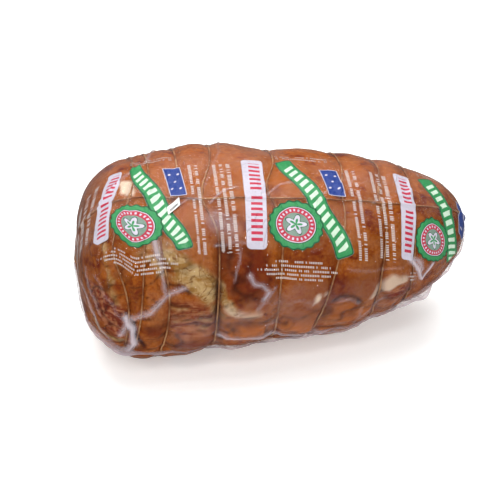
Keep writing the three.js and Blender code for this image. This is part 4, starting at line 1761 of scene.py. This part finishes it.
    def build_panel(self, upper: bool) -> bpy.types.Object:
        """Builds one film panel with its half of the sealed edge.

        Args:
            upper: whether it is the upper panel.

        Returns:
            The new object.
        """
        form = self.skin.form
        back = 180.0 - self.seam_angle
        start, end = (self.seam_angle, back) if upper else (back, 360.0 + self.seam_angle)
        fronts = form.rows(self.spacing, self.fine)
        angles = self.columns(start, end)
        front, angle = np.meshgrid(fronts, angles, indexing="ij")
        low = self.obstacle(front, angle)
        lift = self.drawn(front, angle, low)
        height, painted_sheen = self.folded(front, angle)
        lift = np.maximum(lift, low + height)
        points = form.lifted(front, angle, lift)
        points[..., 2] = np.maximum(points[..., 2], self.lowest)
        first, last = (self.seam_angle, back) if upper else (back, self.seam_angle)
        points[:, 0] = self.edge_line(fronts, np.full(len(fronts), first))
        points[:, -1] = self.edge_line(fronts, np.full(len(fronts), last))
        tips = self.edge_line(form.tips, np.array([self.seam_angle] * 2))
        faces = tipped_faces(*front.shape, False)
        rim, rim_haze, rim_flat = self.rim(upper, fronts)
        base = front.size + 2
        stops, deep = rim.shape[:2]
        for i in range(stops):
            a, b = base + i * deep, base + ((i + 1) % stops) * deep
            for k in range(deep - 1):
                quad = (a + k, a + k + 1, b + k + 1, b + k)
                faces.append(quad if upper else quad[::-1])
        everything = np.concatenate([points.reshape(-1, 3), tips, rim.reshape(-1, 3)])
        flat = self.flat_places(front, angle)
        tip_flat = self.flat_places(form.tips, np.array([FACE_ANGLE] * 2))
        flats = np.concatenate([flat.reshape(-1, 2), tip_flat, rim_flat.reshape(-1, 2)])
        # the film's painted sheen, then the whitish sealed edge, for the film's finish
        haze_and_sheen = np.concatenate([painted_sheen.ravel(), [0, 0], rim_haze.ravel()])
        face_on = band(unwound(angle), *self.printed)
        face_on *= 1 - smooth((front - 128) / 8) * smooth((flat[..., 1] - 105) / 3)
        printed = np.zeros(len(everything))
        if upper:
            printed[:front.size] = face_on.ravel()
        name = "upper_film" if upper else "lower_film"
        return mesh_object(name, everything, faces, flats, {"haze_and_sheen": haze_and_sheen, "printed": printed})

    def dress(self, upper: bpy.types.Object, lower: bpy.types.Object) -> None:
        """Gives the panels their film."""
        place_piece(upper, ["film_upper_panel"], FilmFinish("printed_film", Print()).make())
        place_piece(lower, ["film_lower_panel"], FilmFinish("clear_film").make())


@dataclass
class PriceSticker:
    """The small price sticker, curved over the film on its ham."""

    pouch: Pouch
    x: float = -102.0
    angle: float = 60.5
    length: float = 18.0
    width: float = 11.0
    turn: float = -35.0
    cells: tuple[int, int] = (26, 18)
    corner: float = 1.2
    clearance: float = 0.4
    thickness: float = 0.14
    rounds: int = 60

    def build(self) -> bpy.types.Object:
        """Builds the sticker as a thin closed shell that follows the film's height.

        Returns:
            The new object.
        """
        form = self.pouch.skin.form
        turn = math.radians(self.turn)
        radius = form.width / 2 * float(form.girth(np.array(self.x)))
        u, v = np.meshgrid(*(np.linspace(-0.5, 0.5, count) for count in self.cells), indexing="ij")
        u, v = self.rounded(u * self.length, v * self.width)
        middle = self.x - form.stray(np.array(self.x), np.array(self.angle))
        front = middle + u * np.cos(turn) + v * np.sin(turn)
        angle = self.angle + np.degrees((v * np.cos(turn) - u * np.sin(turn)) / radius)
        lift = self.film_lift(front, angle)
        lower = form.lifted(front, angle, lift).reshape(-1, 3)
        upper = form.lifted(front, angle, lift + self.thickness).reshape(-1, 3)
        flat = np.stack([u.ravel(), v.ravel()], axis=-1)
        everything, flats = np.concatenate([lower, upper]), np.concatenate([flat, flat])
        return mesh_object("price_sticker", everything, self.shell_faces(), flats)

    def film_lift(self, front: Array, angle: Array) -> Array:
        """Finds how high the stiff paper bridges the film.

        Args:
            front: row position of each place of the sticker.
            angle: angle of each place.

        Returns:
            The height of its underside over the plain shape.
        """
        form, margin, margin_angle, step = self.pouch.skin.form, 12, 8, 0.5
        fronts = form.rows(self.pouch.spacing, self.pouch.fine)
        fronts = fronts[(fronts > front.min() - margin) & (fronts < front.max() + margin)]
        angles = np.arange(angle.min() - margin_angle, angle.max() + margin_angle, step)
        grid_front, grid_angle = np.meshgrid(fronts, angles, indexing="ij")
        low = self.pouch.obstacle(grid_front, grid_angle)
        high = self.pouch.drawn(grid_front, grid_angle, low)
        rows = np.clip(np.searchsorted(fronts, front), 1, len(fronts) - 2)
        columns = np.clip(np.searchsorted(angles, angle), 1, len(angles) - 2)
        lift = np.max([high[rows + i, columns + j] for i in (-1, 0, 1) for j in (-1, 0, 1)], axis=0)
        under = lift.copy()
        for _ in range(self.rounds):
            padded = np.pad(lift, 1, mode="edge")
            lift = (padded[:-2, 1:-1] + padded[2:, 1:-1] + padded[1:-1, :-2] + padded[1:-1, 2:]) / 4
        return lift + np.maximum(under - lift, 0).max() + self.clearance

    def shell_faces(self) -> list[tuple[int, ...]]:
        """Lists the faces of the sticker's top, its underside and its edge.

        Returns:
            The faces' vertex numbers, where the underside's vertices come first.
        """
        a, b = self.cells
        count = a * b
        faces = grid_faces(a, b, False)
        shell = [tuple(n + count for n in face) for face in faces] + [face[::-1] for face in faces]
        ring = ([i * b for i in range(a)] + [(a - 1) * b + j for j in range(1, b)]
                + [i * b + b - 1 for i in range(a - 2, -1, -1)] + list(range(b - 2, 0, -1)))
        return shell + [(p, q, q + count, p + count) for p, q in zip(ring, ring[1:] + ring[:1])]

    def rounded(self, u: Array, v: Array) -> tuple[Array, Array]:
        """Pulls a rectangle's corners in to round them.

        Args:
            u: millimetres along from its middle.
            v: millimetres across from its middle.

        Returns:
            The same places with the corners pulled in.
        """
        near_u = np.maximum(np.abs(u) - (self.length / 2 - self.corner), 0) / self.corner
        near_v = np.maximum(np.abs(v) - (self.width / 2 - self.corner), 0) / self.corner
        pull = np.maximum(near_u, near_v) / np.maximum(np.hypot(near_u, near_v), TINY)
        du = np.sign(u) * near_u * self.corner * (1 - pull)
        dv = np.sign(v) * near_v * self.corner * (1 - pull)
        return u - du, v - dv

    def dress(self, item: bpy.types.Object) -> None:
        """Gives the sticker its paper."""
        place_piece(item, ["price_label"], StickerFinish().make())


# ---------------------------------------------------------------- floor, light and camera

@dataclass(frozen=True)
class Softbox:
    """One soft area light, aimed at the ham."""

    name: str
    place: tuple[float, float, float]
    size: tuple[float, float]
    power: float
    glossy: bool = True

    def build(self, target: Vector) -> None:
        """Hangs the light.

        Args:
            target: the place that it faces, in metres.
        """
        lamp = bpy.data.lights.new(self.name, "AREA")
        lamp.shape = "RECTANGLE"
        lamp.size, lamp.size_y = self.size
        lamp.energy = self.power
        item = bpy.data.objects.new(self.name, lamp)
        item.location = self.place
        item.rotation_euler = (target - Vector(self.place)).to_track_quat("-Z", "Y").to_euler()
        item.visible_glossy = self.glossy
        item.visible_camera = False
        bpy.context.scene.collection.objects.link(item)


@dataclass(frozen=True)
class Studio:
    """The plain studio: a pale floor, soft lights and the camera."""

    target: tuple[float, float, float] = (0.0, 0.0, 0.085)
    azimuth: float = -8.139
    elevation: float = 31.16
    distance: float = 1.498
    lens: float = 106.4
    shift: Spot = (-0.0439, 0.0095)
    floor_reach: float = 6000.0
    lights: tuple[Softbox, ...] = (
        Softbox("overhead", (0.0, 0.3, 1.5), (1.6, 1.1), 18.0, glossy=False),
        Softbox("back_strip", (0.0, 0.75, 1.3), (1.8, 0.16), 4.4),
        Softbox("top_strip", (0.0, 0.2, 1.5), (1.8, 0.14), 3.2),
        Softbox("front_strip", (0.0, -0.45, 1.45), (1.6, 0.1), 2.2),
        Softbox("front_key", (-0.7, -1.5, 1.3), (0.9, 0.7), 9.2, glossy=False),
        Softbox("left_strip", (-1.5, 0.1, 0.7), (0.2, 1.2), 2.6),
        Softbox("right_fill", (1.4, -0.7, 0.8), (0.8, 0.8), 1.8, glossy=False),
        Softbox("sparkle", (-0.35, -1.1, 1.25), (0.24, 0.16), 5.0),
        Softbox("right_sparkle", (0.6, -1.2, 1.0), (0.14, 0.14), 2.0),
    )

    def build_floor(self) -> None:
        """Lays the floor."""
        made, sh = Shader.material("studio_floor")
        grain = sh.noise(sh.object_place(), 40.0, 2.0)
        tone = sh.mix(grain, (0.89, 0.92, 0.92), (0.92, 0.95, 0.95))
        sh.finish(sh.add("BsdfPrincipled", {}, {
            "Base Color": tone, "Roughness": 0.75, "Specular IOR Level": 0.2,
            "Emission Color": (1.0, 1.0, 1.0), "Emission Strength": 0.4}))
        far = self.floor_reach
        corners = np.array([(-far, -far, 0), (far, -far, 0), (far, far, 0), (-far, far, 0)])
        floor = mesh_object("studio_floor", corners, [(0, 1, 2, 3)])
        floor.data.materials.append(made)
        floor.visible_glossy = False

    def build_world(self) -> None:
        """Makes the room pale where the camera sees it and dimmer where the film mirrors it."""
        world = bpy.data.worlds.new("studio_room")
        world.use_nodes = True
        sh = Shader(world.node_tree)
        seen = sh.add("LightPath", out="Is Camera Ray")
        strength = seen * 0.86 + 0.14
        room = sh.add("Background", {}, {"Color": (1.0, 1.0, 1.0), "Strength": strength})
        sh.finish(room, "OutputWorld")
        bpy.context.scene.world = world

    def build_camera(self) -> None:
        """Sets the camera at the viewing angle."""
        azimuth, elevation = math.radians(self.azimuth), math.radians(self.elevation)
        level = math.cos(elevation)
        away = Vector((math.sin(azimuth) * level, -math.cos(azimuth) * level, math.sin(elevation)))
        lens = bpy.data.cameras.new("studio_camera")
        lens.lens = self.lens
        lens.sensor_width = 36.0
        lens.shift_x, lens.shift_y = self.shift
        lens.clip_end = 30.0
        camera = bpy.data.objects.new("studio_camera", lens)
        camera.location = Vector(self.target) + away * self.distance
        camera.rotation_euler = (-away).to_track_quat("-Z", "Y").to_euler()
        bpy.context.scene.collection.objects.link(camera)
        bpy.context.scene.camera = camera

    def build(self) -> None:
        """Builds the whole studio."""
        self.build_floor()
        self.build_world()
        for light in self.lights:
            light.build(Vector(self.target))
        self.build_camera()
        bpy.context.scene.view_settings.view_transform = "Standard"


def main() -> None:
    """Builds the ham, its twine, its pouch, its sticker and the studio, in that order."""
    logging.basicConfig(level=logging.INFO, format="%(message)s")
    skin = Skin(HamForm.from_node("ham"))

    ham = Ham(skin)
    ham.dress(ham.build())

    twine = Twine(skin)
    runs = [twine.build_loop(number, loop) for number, loop in enumerate(LOOPS, 1)]
    twine.dress(runs + [twine.build_lengthwise()])

    pouch = Pouch(skin, twine)
    pouch.dress(pouch.build_panel(True), pouch.build_panel(False))

    sticker = PriceSticker(pouch)
    sticker.dress(sticker.build())

    Studio().build()


if __name__ == "__main__":
    main()
